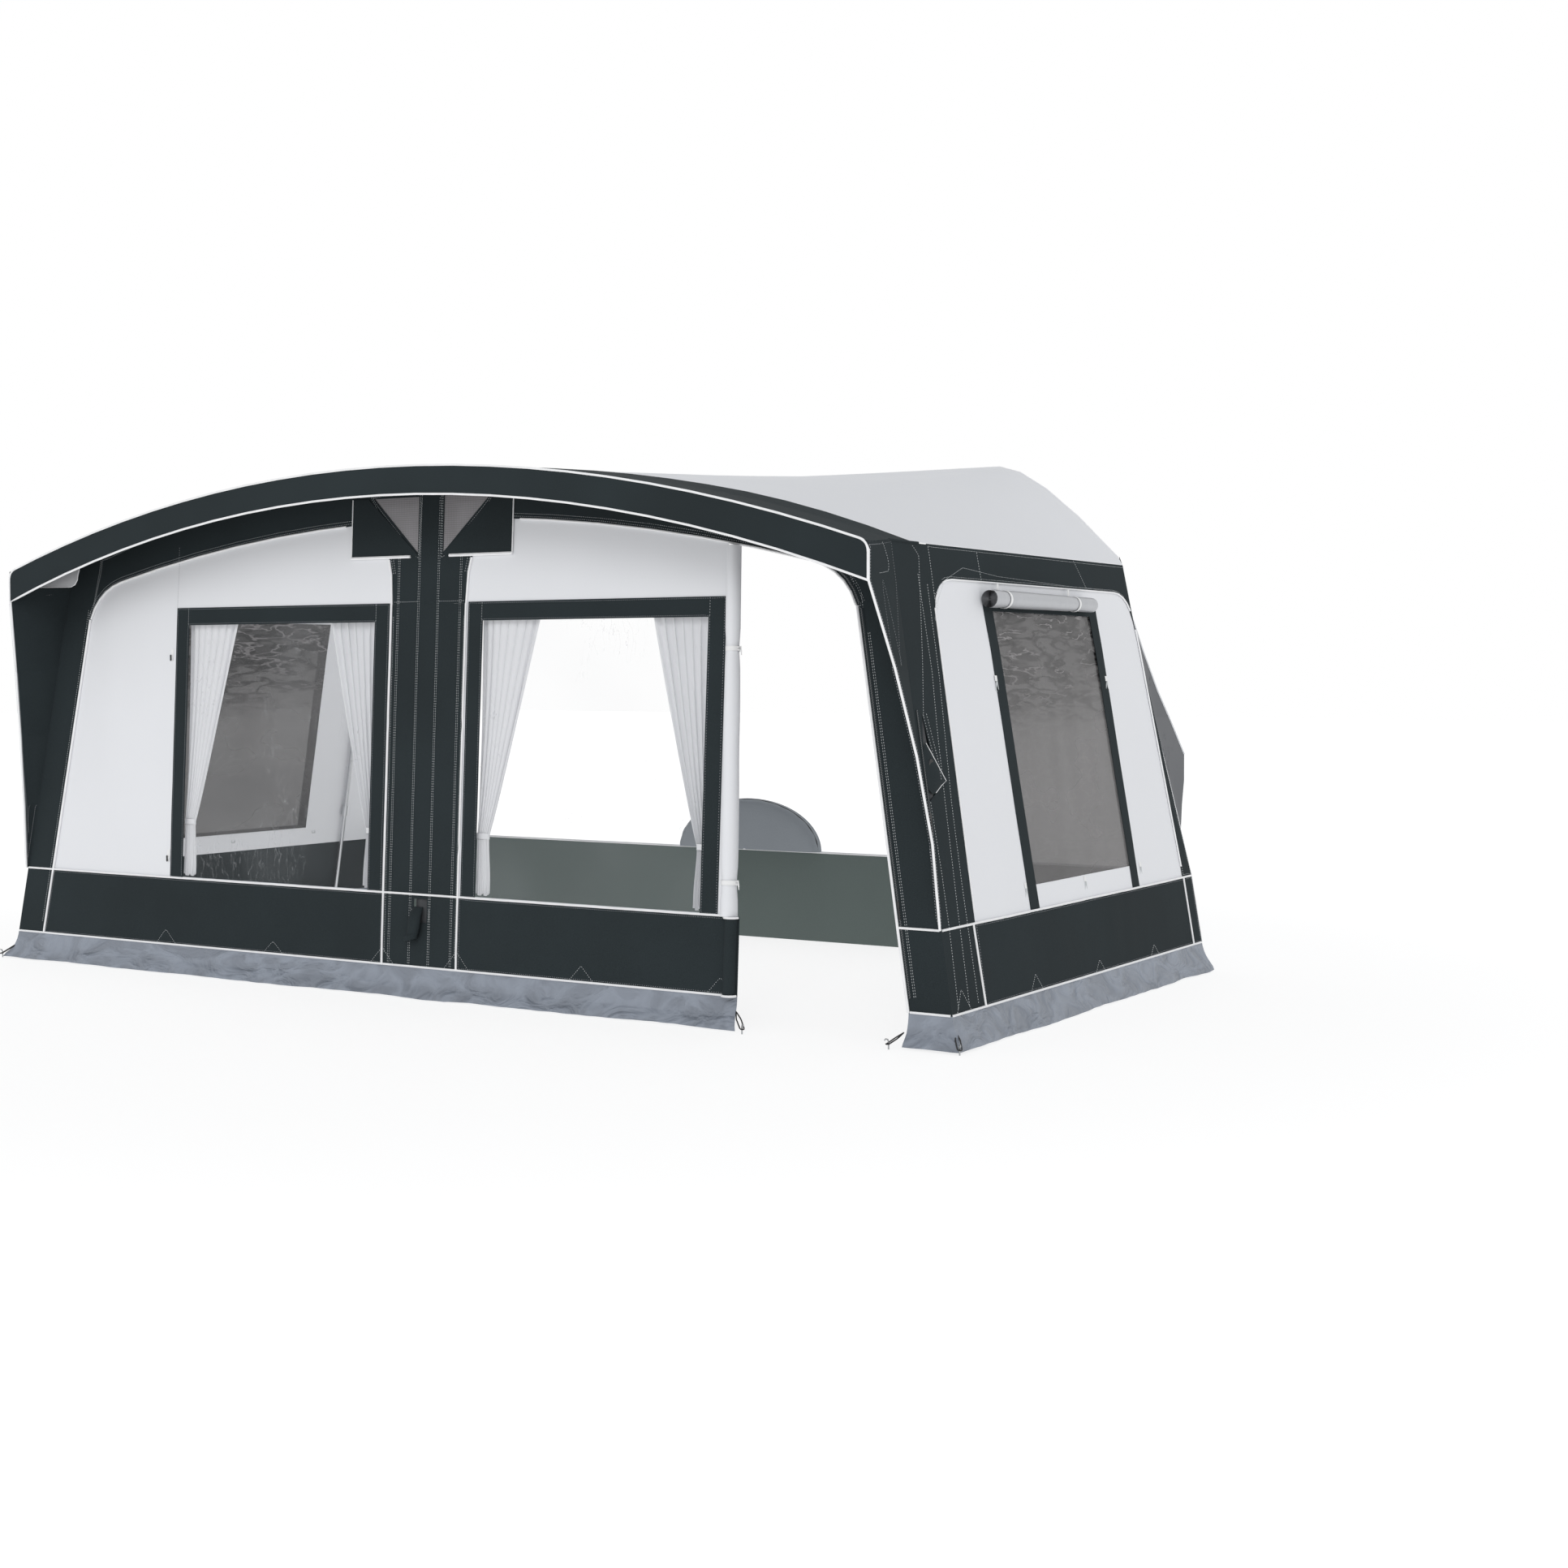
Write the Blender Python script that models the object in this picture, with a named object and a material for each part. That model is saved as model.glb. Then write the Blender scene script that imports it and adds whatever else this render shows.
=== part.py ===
"""Caravan awning on an inflated frame.

Metres, +Z up. X runs along the caravan and Y from the canopy's front edge to the caravan's wall.
The origin is on the ground, in the middle of the awning's length and depth.
"""

import bpy
import bmesh
from math import atan2, cos, hypot, pi, sin, tau
from mathutils import Vector
from mathutils.geometry import tessellate_polygon

# Overall form
DEPTH = 3.0             # caravan wall to the front of the canopy
HEM_REACH = 2.773       # caravan wall to the front wall, at the hem
EAVES_REACH = 2.667     # caravan wall to the front wall, at the eaves
HEM_HALF = 2.747        # centre to a side wall, at the hem
EAVES_HALF = 2.412      # centre to a side wall, at the eaves
HEM = 0.140             # top of the mud flaps
BAND = 0.475            # top of the dark lower band
EAVES = 2.030           # where roof and side walls meet
RIDGE = 2.430           # crown of the roof over the front wall
RAIL = 2.576            # crown of the roof at the caravan
RAIL_EAVES = 2.088      # height of the roof's corner at the caravan
RAIL_FLAT_HALF = 1.600  # half of the straight length of the caravan's rail
RAIL_TURN_HALF = 1.800  # where the rail's shoulder would be square
RAIL_INSET = 0.130      # how far the rail's corner lies inside the side wall

# Cloth and clearances
CLOTH = 0.003           # thickness of cloth, film and mesh
GAP = 0.0003            # between pieces that touch
SEAM = 0.020            # overlap of sewn layers
LINING = 0.004          # roof cloth to the beam under it
OVERRUN = 0.010         # how far a cutter runs past what it cuts
LAYER = CLOTH + GAP     # from one layer of cloth to the next

# Canopy
CANOPY_HALF = 2.490     # centre to a tip of the canopy
CANOPY_CROWN = 2.411    # fascia's top edge at the centre
CANOPY_TIP = 2.004      # fascia's top edge at a tip
FASCIA_CENTRE = 0.126   # height of the fascia at the centre
FASCIA_TIP = 0.152      # height of the fascia at a tip
FRONT_BAND = 0.500      # dark front strip of the roof, front to back
WING_FOOT = 0.012       # width of a wing at its lower end
WING_BOW = 1.6          # how hollow a wing's free edge runs; 1 is straight
WING_STEPS = 4          # levels of a wing from its foot to the fascia

# Front wall
COLUMN_HALF = 0.223     # half of the centre column's width
COLUMN_TOP = 1.810      # seam between the column and the arch sleeve
POST_FACE = 0.195       # corner sleeve's width on the front wall
POST_SIDE = 0.300       # corner sleeve's width on a side wall
ARCH_CROWN = 2.198      # lower edge of the arch sleeve at the centre
ARCH_SHOULDER = 1.906   # lower edge of the arch sleeve, carried on to the post
ARCH_TURN = 0.200       # rounding of the openings' upper corners
DOOR_EDGE = 1.740       # centre to the door's free side, under the band
DOOR_ROLL_R = 0.034     # rolled-up door panel, at its top
DOOR_ROLL_FOOT_R = 0.043
DOOR_ROLL_LEAN = 0.016  # how far the roll's near side leans out towards its foot
DOOR_ROLL_TOP = 1.990
WINDOW_NEAR = 0.236     # window tape's edge beside the column
WINDOW_FAR = 1.630      # window tape's outer edge
WINDOW_TOP = 1.816      # window tape's upper edge
TAPE = 0.086            # width of the window tape
TAPE_LAP = 0.010        # how far the tape runs past the hole's edge
SILL = 0.006            # light cloth left under the window
FLAP_FLARE = 0.025      # how far the front mud flap's foot stands out on the ground
FLAP_BEND = 0.060       # height at which it starts to

# Vents
VENT_TOP = 2.305
VENT_LOW = 2.045
VENT_NEAR = 0.075       # mesh edge beside the centre strip
VENT_FAR = 0.350        # mesh corner under the fascia
VENT_HEM = 2.030        # lower edge of the flap
VENT_FLAP_OUT = 0.480   # flap's outer edge
VENT_FLAP_IN = 0.385    # flap's inner edge at the top

# Side walls
SIDE_TOP = 1.885        # top of the light side panel
SIDE_TURN = 0.190       # rounding of its upper corners
BEND_TOP = 0.270        # caravan wall to the bend of the side wall, at the eaves
BEND_BAND = 0.127       # the same at the lower band
BLIND_FRONT = 1.940     # caravan wall to the front end of the rolled blind
BLIND_REAR = 0.829      # caravan wall to its rear end
BLIND_FRONT_R = 0.042
BLIND_R = 0.036         # at its rear end
BLIND_HEIGHT = 1.812
STRIP_FRONT = 1.920     # caravan wall to the front window strip's front edge
STRIP_REAR = 0.700      # caravan wall to the rear window strip's rear edge
STRIP = 0.085           # width of a window strip
STRIP_TOP = 1.815
SIDE_GLASS_LOW = 0.580
SIDE_GLASS_TOP = 1.760

# Skirt and wheel-arch cover at the caravan
SKIRT_TOP = 0.500
SKIRT_SETBACK = 0.012   # behind the plane of the caravan's wall
WHEEL_X = 0.066
WHEEL_HALF = 0.464
WHEEL_TOP = 0.785
WHEEL_BULGE = 0.050

# Inflated beams
BEAM_R = 0.075          # front arch and its legs
LEG_R = 0.065           # centre leg
ROOF_BEAM_R = 0.050
KNEE = 0.300            # length of the rounding between leg and arch
FOOT = 0.055            # beam's lower end, above the ground
BEAM_SIDES = 12
ROOF_BEAM_END = 0.060   # beam's end to the caravan wall

# Keder bead and rear uprights
KEDER_R = 0.0035
UPRIGHT_SETBACK = 0.420  # caravan wall to the uprights
UPRIGHT_R = 0.014
UPRIGHT_BORE_R = 0.0122
STEM_R = 0.0118
UPRIGHT_LOW = 0.620     # lower end of the upper tube
STEM_INSIDE = 0.120     # stem's length inside the upper tube at rest
STEM_STROKE = 0.250     # how far the stem can slide up
STEM_FOOT_R = 0.035
STEM_FOOT_T = 0.012
COLLAR_R = 0.020
COLLAR_H = 0.060

# Curtains
TRACK_HIGH = 0.012
TRACK_DEEP = 0.040
TRACK_Z = 1.752         # underside of the curtain track
TRACK_END = 0.030       # track's length past the glass
CURTAIN_LAP = 0.022     # how far the curtains hang behind the window tape
CURTAIN_TOP_WIDTH = 0.330
CURTAIN_TIE_WIDTH = 0.075
CURTAIN_TAIL_WIDTH = 0.095
CURTAIN_TIE_Z = 0.760
CURTAIN_LOW = 0.490
CURTAIN_FOLD = 0.011    # depth of a pleat, either way
CURTAIN_PLEATS = 5

# Valve, inflation sleeve and zip sliders
VALVE_Z = 1.130
VALVE_R = 0.019
VALVE_FACE = 0.004      # valve's face in front of the sleeve's cloth
CAP_T = 0.005
SLIT_TOP = 1.330
SLIT_LOW = 0.980
SLIT_HALF = 0.042
CHUTE_Z = 0.400
CHUTE_DROP = 0.150
CHUTE_R = 0.026
CHUTE_SLOT_HALF = 0.040
CHUTE_SLOT_HIGH = 0.110
CHUTE_STAND = 0.038     # chute's axis in front of the column
SLIDER_WIDE = 0.012
SLIDER_LONG = 0.030
SLIDER_T = 0.006
SLIDER_FROM_EDGE = 0.016
PULL_LONG = 0.045
PULL_WIDE = 0.006
DOOR_SLIDER_Z = 0.520
SLIT_SLIDER_DROP = 0.060  # slider's middle under the slit

WALL_Y = DEPTH / 2
FRONT_Y = -DEPTH / 2
SIDES = (("left", -1), ("right", 1))

ANTHRACITE = ("anthracite_cloth", (0.030, 0.039, 0.043), 0.85, 0.0)
LIGHT = ("light_grey_cloth", (0.70, 0.71, 0.73), 0.70, 0.0)
PVC = ("mud_flap_pvc", (0.22, 0.24, 0.28), 0.45, 0.0)
CLEAR = ("window_film", (0.75, 0.78, 0.80), 0.08, 0.0)
TINTED = ("tinted_film", (0.20, 0.19, 0.19), 0.25, 0.0)
MESH = ("vent_mesh", (0.22, 0.21, 0.22), 0.80, 0.0)
SKIRT = ("skirt_cloth", (0.095, 0.118, 0.112), 0.75, 0.0)
ARCH_COVER = ("wheel_arch_cloth", (0.22, 0.23, 0.26), 0.60, 0.0)
VOILE = ("curtain_voile", (0.86, 0.87, 0.90), 0.80, 0.0)
WHITE = ("white_plastic", (0.80, 0.80, 0.80), 0.40, 0.0)
BLADDER = ("beam_sleeve", (0.045, 0.048, 0.052), 0.65, 0.0)
BLACK = ("black_plastic", (0.02, 0.02, 0.02), 0.45, 0.0)
FOIL = ("blind_foil", (0.62, 0.63, 0.65), 0.20, 0.0)
ALLOY = ("pole_alloy", (0.62, 0.63, 0.65), 0.30, 1.0)


def clear_scene():
    for thing in list(bpy.data.objects):
        bpy.data.objects.remove(thing, do_unlink=True)


def finish_material(finish):
    name, colour, roughness, metallic = finish
    material = bpy.data.materials.get(name)
    if material is None:
        material = bpy.data.materials.new(name)
        material.use_nodes = True
        shader = material.node_tree.nodes["Principled BSDF"]
        shader.inputs["Base Color"].default_value = (*colour, 1.0)
        shader.inputs["Roughness"].default_value = roughness
        shader.inputs["Metallic"].default_value = metallic
    return material


def add_object(name, finish, mesh, smooth=False):
    """Close a bmesh into a named object with its finish."""
    bmesh.ops.recalc_face_normals(mesh, faces=mesh.faces)
    data = bpy.data.meshes.new(name)
    mesh.to_mesh(data)
    mesh.free()
    if smooth:
        data.shade_smooth()
        data.set_sharp_from_angle(angle=pi / 5)
    data.materials.append(finish_material(finish))
    thing = bpy.data.objects.new(name, data)
    bpy.context.scene.collection.objects.link(thing)
    return thing


def shell(name, finish, outer, inner, faces, smooth=False):
    """A closed solid between two like sheets of points."""
    mesh = bmesh.new()
    front = [mesh.verts.new(point) for point in outer]
    back = [mesh.verts.new(point) for point in inner]
    uses = {}
    for face in faces:
        mesh.faces.new([front[i] for i in face])
        mesh.faces.new([back[i] for i in reversed(face)])
        for a, b in zip(face, (*face[1:], face[0])):
            uses.setdefault(frozenset((a, b)), []).append((a, b))
    for edges in uses.values():
        if len(edges) == 1:
            a, b = edges[0]
            mesh.faces.new((front[b], front[a], back[a], back[b]))
    return add_object(name, finish, mesh, smooth)


def plate(name, finish, place, outline, near, far, holes=()):
    """Cloth cut to an outline; place(u, v, d) puts it on its wall, d deep."""
    loops = [list(outline), *[list(hole) for hole in holes]]
    faces = tessellate_polygon([[Vector((u, v, 0)) for u, v in loop] for loop in loops])
    flat = [point for loop in loops for point in loop]
    outer = [place(u, v, near) for u, v in flat]
    inner = [place(u, v, far) for u, v in flat]
    return shell(name, finish, outer, inner, [tuple(face) for face in faces])


def sheet(name, finish, outer_rows, inner_rows, smooth=True):
    """Cloth over a grid of points, one list per row."""
    columns = len(outer_rows[0])
    faces = []
    for row in range(len(outer_rows) - 1):
        for column in range(columns - 1):
            a = row * columns + column
            faces.append((a, a + 1, a + columns + 1, a + columns))
    outer = [point for row in outer_rows for point in row]
    inner = [point for row in inner_rows for point in row]
    return shell(name, finish, outer, inner, faces, smooth)


def loft(name, finish, rings, smooth=False, hollow=False):
    """A solid through rings of points; a hollow one joins the last ring to the first."""
    mesh = bmesh.new()
    made = [[mesh.verts.new(point) for point in ring] for ring in rings]
    pairs = list(zip(made, made[1:]))
    if hollow:
        pairs.append((made[-1], made[0]))
    else:
        mesh.faces.new(list(reversed(made[0])))
        mesh.faces.new(made[-1])
    for low, high in pairs:
        for i in range(len(low)):
            j = (i + 1) % len(low)
            mesh.faces.new((low[i], low[j], high[j], high[i]))
    return add_object(name, finish, mesh, smooth)


def ring(centre, along, up, radius, sides, flatten=1.0):
    """Points round a centre, square to a direction, the first one towards up."""
    along = along.normalized()
    first = (up - along * up.dot(along)).normalized()
    second = along.cross(first)
    points = []
    for i in range(sides):
        angle = tau * i / sides
        points.append(centre + first * radius * flatten * cos(angle) + second * radius * sin(angle))
    return points


def tube(name, finish, path, radius, up, sides=BEAM_SIDES, flatten=1.0):
    """A round piece along a path; radius is one value or one for each point."""
    radii = radius if isinstance(radius, list) else [radius] * len(path)
    rings = []
    for i, point in enumerate(path):
        along = path[min(i + 1, len(path) - 1)] - path[max(i - 1, 0)]
        rings.append(ring(point, along, up, radii[i], sides, flatten))
    return loft(name, finish, rings, smooth=True)


def subtract(target, cutter):
    """Cut one object out of another and keep the cutter as a guide."""
    cutter.hide_render = True
    cutter.display_type = 'WIRE'
    cut = target.modifiers.new("cut", 'BOOLEAN')
    cut.operation = 'DIFFERENCE'
    cut.solver = 'EXACT'
    cut.object = cutter


def bevel(target, width):
    edge = target.modifiers.new("bevel", 'BEVEL')
    edge.width = width
    edge.segments = 2
    edge.limit_method = 'ANGLE'


def mix(a, b, share):
    return a + (b - a) * share


def curve(start, control, end, steps):
    """Points of a rounded corner, both ends included."""
    points = []
    for i in range(steps + 1):
        t = i / steps
        points.append(tuple((1 - t) ** 2 * s + 2 * t * (1 - t) * c + t * t * e
                            for s, c, e in zip(start, control, end)))
    return points


# Planes of the walls

def height_share(z):
    return (z - HEM) / (EAVES - HEM)


def side_x(z):
    return mix(HEM_HALF, EAVES_HALF, height_share(z))


def front_y(z):
    return WALL_Y - mix(HEM_REACH, EAVES_REACH, height_share(z))


def jamb_x(z):
    return side_x(z) - POST_FACE


def seam_y(z):
    """Front seam of the side wall, behind the corner sleeve."""
    return front_y(z) + POST_SIDE


def bend_y(z):
    """Line along which the side wall turns in to the caravan."""
    share = (z - BAND) / (EAVES - BAND)
    return WALL_Y - mix(BEND_BAND, BEND_TOP, share)


def rail_x(z):
    return side_x(z) - RAIL_INSET * max(0.0, (z - BAND) / (EAVES - BAND))


def on_front(x, z, d):
    return Vector((x, front_y(z) + d, z))


def on_side(sign):
    def place(y, z, d):
        return Vector((sign * (side_x(z) - d), y, z))
    return place


SIDE_LEAN = hypot(HEM_HALF - EAVES_HALF, EAVES - HEM) / (EAVES - HEM)
FRONT_LEAN = hypot(HEM_REACH - EAVES_REACH, EAVES - HEM) / (EAVES - HEM)


# Roof

ROOF_STEPS = 12         # grid columns over half of the roof
ROOF_ROWS = 7           # grid rows from the bend to the front wall


def rail_profile(t):
    """Share of the half width and share of the rise at the caravan's rail."""
    corner = side_x(RAIL_EAVES) - RAIL_INSET
    flat_share = 0.66
    if t <= flat_share:
        return RAIL_FLAT_HALF * t / flat_share / corner, 1.0
    s = (t - flat_share) / (1 - flat_share)
    x = (1 - s) ** 2 * RAIL_FLAT_HALF + 2 * s * (1 - s) * RAIL_TURN_HALF + s * s * corner
    return x / corner, 1 - s * s


def roof_edge(y):
    """Half width and height of the roof's edge at a depth."""
    bend = WALL_Y - BEND_TOP
    if y <= bend:
        return EAVES_HALF, EAVES
    share = (y - bend) / BEND_TOP
    return mix(EAVES_HALF, side_x(RAIL_EAVES) - RAIL_INSET, share), mix(EAVES, RAIL_EAVES, share)


def roof_point(t, y):
    """Point of the roof's upper face; t runs from -1 to 1 across the awning."""
    front = front_y(EAVES)
    half, edge = roof_edge(y)
    if y < front:
        share = (front - y) / (front - FRONT_Y)
        half = mix(EAVES_HALF, CANOPY_HALF, share)
        edge = mix(EAVES, CANOPY_TIP, share)
        crown = mix(RIDGE, CANOPY_CROWN, share)
        across, rise = abs(t), 1 - t * t
    else:
        share = (WALL_Y - y) / (WALL_Y - front)
        crown = mix(RAIL, RIDGE, share)
        rail_across, rail_rise = rail_profile(abs(t))
        across = mix(rail_across, abs(t), share)
        rise = mix(rail_rise, 1 - t * t, share)
    x = half * across * (-1 if t < 0 else 1)
    return Vector((x, y, edge + (crown - edge) * rise))


def roof_inside(t, y, depth):
    """Point a given depth under the roof's upper face."""
    step_share = 0.01
    low = roof_point(t - step_share, y)
    high = roof_point(t + step_share, y)
    slope = atan2(high.z - low.z, high.x - low.x)
    return roof_point(t, y) + Vector((sin(slope), 0, -cos(slope))) * depth


def roof_rows(depths):
    spread = [i / ROOF_STEPS for i in range(-ROOF_STEPS, ROOF_STEPS + 1)]
    outer = [[roof_point(t, y) for t in spread] for y in depths]
    inner = [[point - Vector((0, 0, CLOTH)) for point in row] for row in outer]
    return outer, inner


ROOF_REAR = WALL_Y - 2 * KEDER_R - GAP
BAND_BACK = FRONT_Y + FRONT_BAND


def build_roof():
    bend = WALL_Y - BEND_TOP
    rear = [mix(ROOF_REAR, bend, i / 2) for i in range(3)]
    middle = [mix(bend, BAND_BACK + GAP, i / ROOF_ROWS) for i in range(1, ROOF_ROWS + 1)]
    sheet("roof_panel", LIGHT, *roof_rows(rear + middle))
    front = front_y(EAVES)
    edge = FRONT_Y + CLOTH + GAP
    sheet("roof_front_band", ANTHRACITE, *roof_rows([BAND_BACK, front, mix(front, edge, 1 / 2), edge]))


def fascia_edge(x, low):
    share = (x / CANOPY_HALF) ** 2
    top = mix(CANOPY_CROWN, CANOPY_TIP, share)
    return top - mix(FASCIA_CENTRE, FASCIA_TIP, share) if low else top


def build_canopy():
    spread = [CANOPY_HALF * i / ROOF_STEPS for i in range(-ROOF_STEPS, ROOF_STEPS + 1)]
    rows = [[Vector((x, FRONT_Y, fascia_edge(x, low))) for x in spread] for low in (False, True)]
    back = [[point + Vector((0, CLOTH, 0)) for point in row] for row in rows]
    sheet("canopy_fascia", ANTHRACITE, rows, back, smooth=False)
    tip_low = CANOPY_TIP - FASCIA_TIP
    front = FRONT_Y + CLOTH + GAP
    top = EAVES - CLOTH - GAP
    heights = [mix(BAND, tip_low, i / WING_STEPS) for i in range(WING_STEPS + 1)] + [top]
    for side, sign in SIDES:
        outer = []
        for z in heights:
            rear_point = Vector((sign * side_x(z), front_y(z) - GAP, z))
            share = min(1.0, (z - BAND) / (tip_low - BAND)) ** WING_BOW
            foot_y = front_y(BAND) - GAP - WING_FOOT
            x = mix(side_x(BAND), CANOPY_HALF, share)
            tip = Vector((sign * x, mix(foot_y, front, share), z))
            if z == top:
                tip.z = CANOPY_TIP - CLOTH - GAP
            outer.append([tip, (tip + rear_point) / 2, rear_point])
        inner = [[point - Vector((sign * CLOTH, 0, 0)) for point in row] for row in outer]
        sheet("wing_" + side, ANTHRACITE, outer, inner)


# Front wall

def arch_z(x):
    """Lower edge of the arch sleeve."""
    half = jamb_x(ARCH_SHOULDER)
    return mix(ARCH_CROWN, ARCH_SHOULDER, (x / half) ** 2)


def opening_top(near, far_shift, lift):
    """Upper outline of a front opening, from the column to the corner sleeve."""
    far_x = jamb_x(ARCH_SHOULDER) + far_shift
    near_z = arch_z(near) + lift
    inner = curve((near, COLUMN_TOP), (near, near_z), (near + ARCH_TURN, arch_z(near + ARCH_TURN) + lift), 5)
    steps = 6
    stop = far_x - ARCH_TURN
    span = [mix(near + ARCH_TURN, stop, i / steps) for i in range(1, steps)]
    over = [(x, arch_z(x) + lift) for x in span]
    low = ARCH_SHOULDER - ARCH_TURN
    outer = curve((stop, arch_z(stop) + lift), (far_x, ARCH_SHOULDER + lift),
                  (jamb_x(low) + far_shift, low), 6)
    return inner + over + outer


def mirrored(points, sign):
    return [(sign * x, z) for x, z in points]


def under_roof(x):
    """Height just under the roof cloth, over the front wall."""
    share = (x / EAVES_HALF) ** 2
    return mix(RIDGE, EAVES, share) - CLOTH - LINING


def build_arch_sleeve():
    top_z = ARCH_SHOULDER - ARCH_TURN
    end_z = under_roof(jamb_x(EAVES))
    end_x = jamb_x(end_z) - GAP
    half_top = [(x, under_roof(x)) for x in [end_x * i / 8 for i in range(8)]] + [(end_x, end_z)]
    low = opening_top(COLUMN_HALF, 0, 0)
    low[-1] = (jamb_x(top_z) - GAP, top_z)
    right = half_top + list(reversed(low))
    left = list(reversed(mirrored(right[1:], -1)))
    outline = right + left
    vents = []
    for sign in (-1, 1):
        vents.append(mirrored([(VENT_NEAR, VENT_LOW), (VENT_NEAR, VENT_TOP), (VENT_FAR, VENT_TOP)], sign))
    plate("front_arch_sleeve", ANTHRACITE, on_front, outline, 0, CLOTH, vents)


def build_vents():
    """Mesh behind each vent and the flap hung over it."""
    for side, sign in SIDES:
        lap = TAPE_LAP
        mesh_edge = [(VENT_NEAR - lap, VENT_LOW - 2 * lap), (VENT_NEAR - lap, VENT_TOP + lap),
                     (VENT_FAR + 2 * lap, VENT_TOP + lap)]
        plate("vent_mesh_" + side, MESH, on_front, mirrored(mesh_edge, sign), LAYER, LAYER + CLOTH)
        flap = [(VENT_NEAR - lap, VENT_HEM), (VENT_FLAP_OUT, VENT_HEM), (VENT_FLAP_OUT, VENT_TOP),
                (VENT_FLAP_IN, VENT_TOP)]
        plate("vent_flap_" + side, ANTHRACITE, on_front, mirrored(flap, sign), -LAYER, -GAP)


def build_corner_sleeves():
    """Cloth angle round each front corner, with the opened slit over the right valve."""
    for side, sign in SIDES:
        levels = [(HEM, HEM), (BAND, BAND), (EAVES - CLOTH - LINING, under_roof(jamb_x(EAVES)))]
        rings = []
        for z, jamb_z in levels:
            x, y = side_x(z), front_y(z)
            corner = [(jamb_x(jamb_z), front_y(jamb_z), jamb_z), (x, y, z), (x, seam_y(z), z),
                      (x - CLOTH, seam_y(z), z), (x - CLOTH, y + CLOTH, z),
                      (jamb_x(jamb_z), front_y(jamb_z) + CLOTH, jamb_z)]
            rings.append([Vector((sign * a, b, c)) for a, b, c in corner])
        sleeve = loft("corner_sleeve_" + side, ANTHRACITE, rings)
        if side == "right":
            middle = leg_centre(VALVE_Z).y
            slit = [(middle, SLIT_TOP), (middle - SLIT_HALF, VALVE_Z), (middle - SLIT_HALF, SLIT_LOW),
                    (middle + SLIT_HALF, SLIT_LOW + SLIT_HALF), (middle + SLIT_HALF, VALVE_Z)]
            cutter = plate("slit_cutter", BLACK, on_side(1), slit, -OVERRUN, OVERRUN)
            subtract(sleeve, cutter)


def build_column():
    low, high = CHUTE_Z - CHUTE_SLOT_HIGH / 2, CHUTE_Z + CHUTE_SLOT_HIGH / 2
    slot = [(-CHUTE_SLOT_HALF, low), (CHUTE_SLOT_HALF, low), (CHUTE_SLOT_HALF, high), (-CHUTE_SLOT_HALF, high)]
    edge = [(-COLUMN_HALF, HEM), (COLUMN_HALF, HEM), (COLUMN_HALF, COLUMN_TOP - GAP),
            (-COLUMN_HALF, COLUMN_TOP - GAP)]
    plate("centre_column_sleeve", ANTHRACITE, on_front, edge, 0, CLOTH, [slot])
    out = CHUTE_STAND
    start = on_front(0, CHUTE_Z, LAYER + CHUTE_R)
    path = [start, on_front(0, CHUTE_Z, -out / 2), on_front(0, CHUTE_Z - CHUTE_R, -out),
            on_front(-CHUTE_R / 2, CHUTE_Z - CHUTE_DROP / 2, -out),
            on_front(-CHUTE_R, CHUTE_Z - CHUTE_DROP, -out)]
    flare_shares = [1.0, 1.0, 1.0, 0.85, 1.1]
    chute = tube("inflation_sleeve", BLADDER, path, [CHUTE_R * s for s in flare_shares], Vector((1, 0, 0)), 12)
    subtract(chute, tube("centre_leg_cutter", BLACK, centre_leg_path(), LEG_R + GAP, Vector((0, 1, 0))))


def window_box():
    """Glass of the right front window: low x, high x, low z, high z."""
    return WINDOW_NEAR + TAPE, WINDOW_FAR - TAPE, BAND + SILL, WINDOW_TOP - TAPE


def rectangle(x0, x1, z0, z1):
    return [(x0, z0), (x1, z0), (x1, z1), (x0, z1)]


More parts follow.
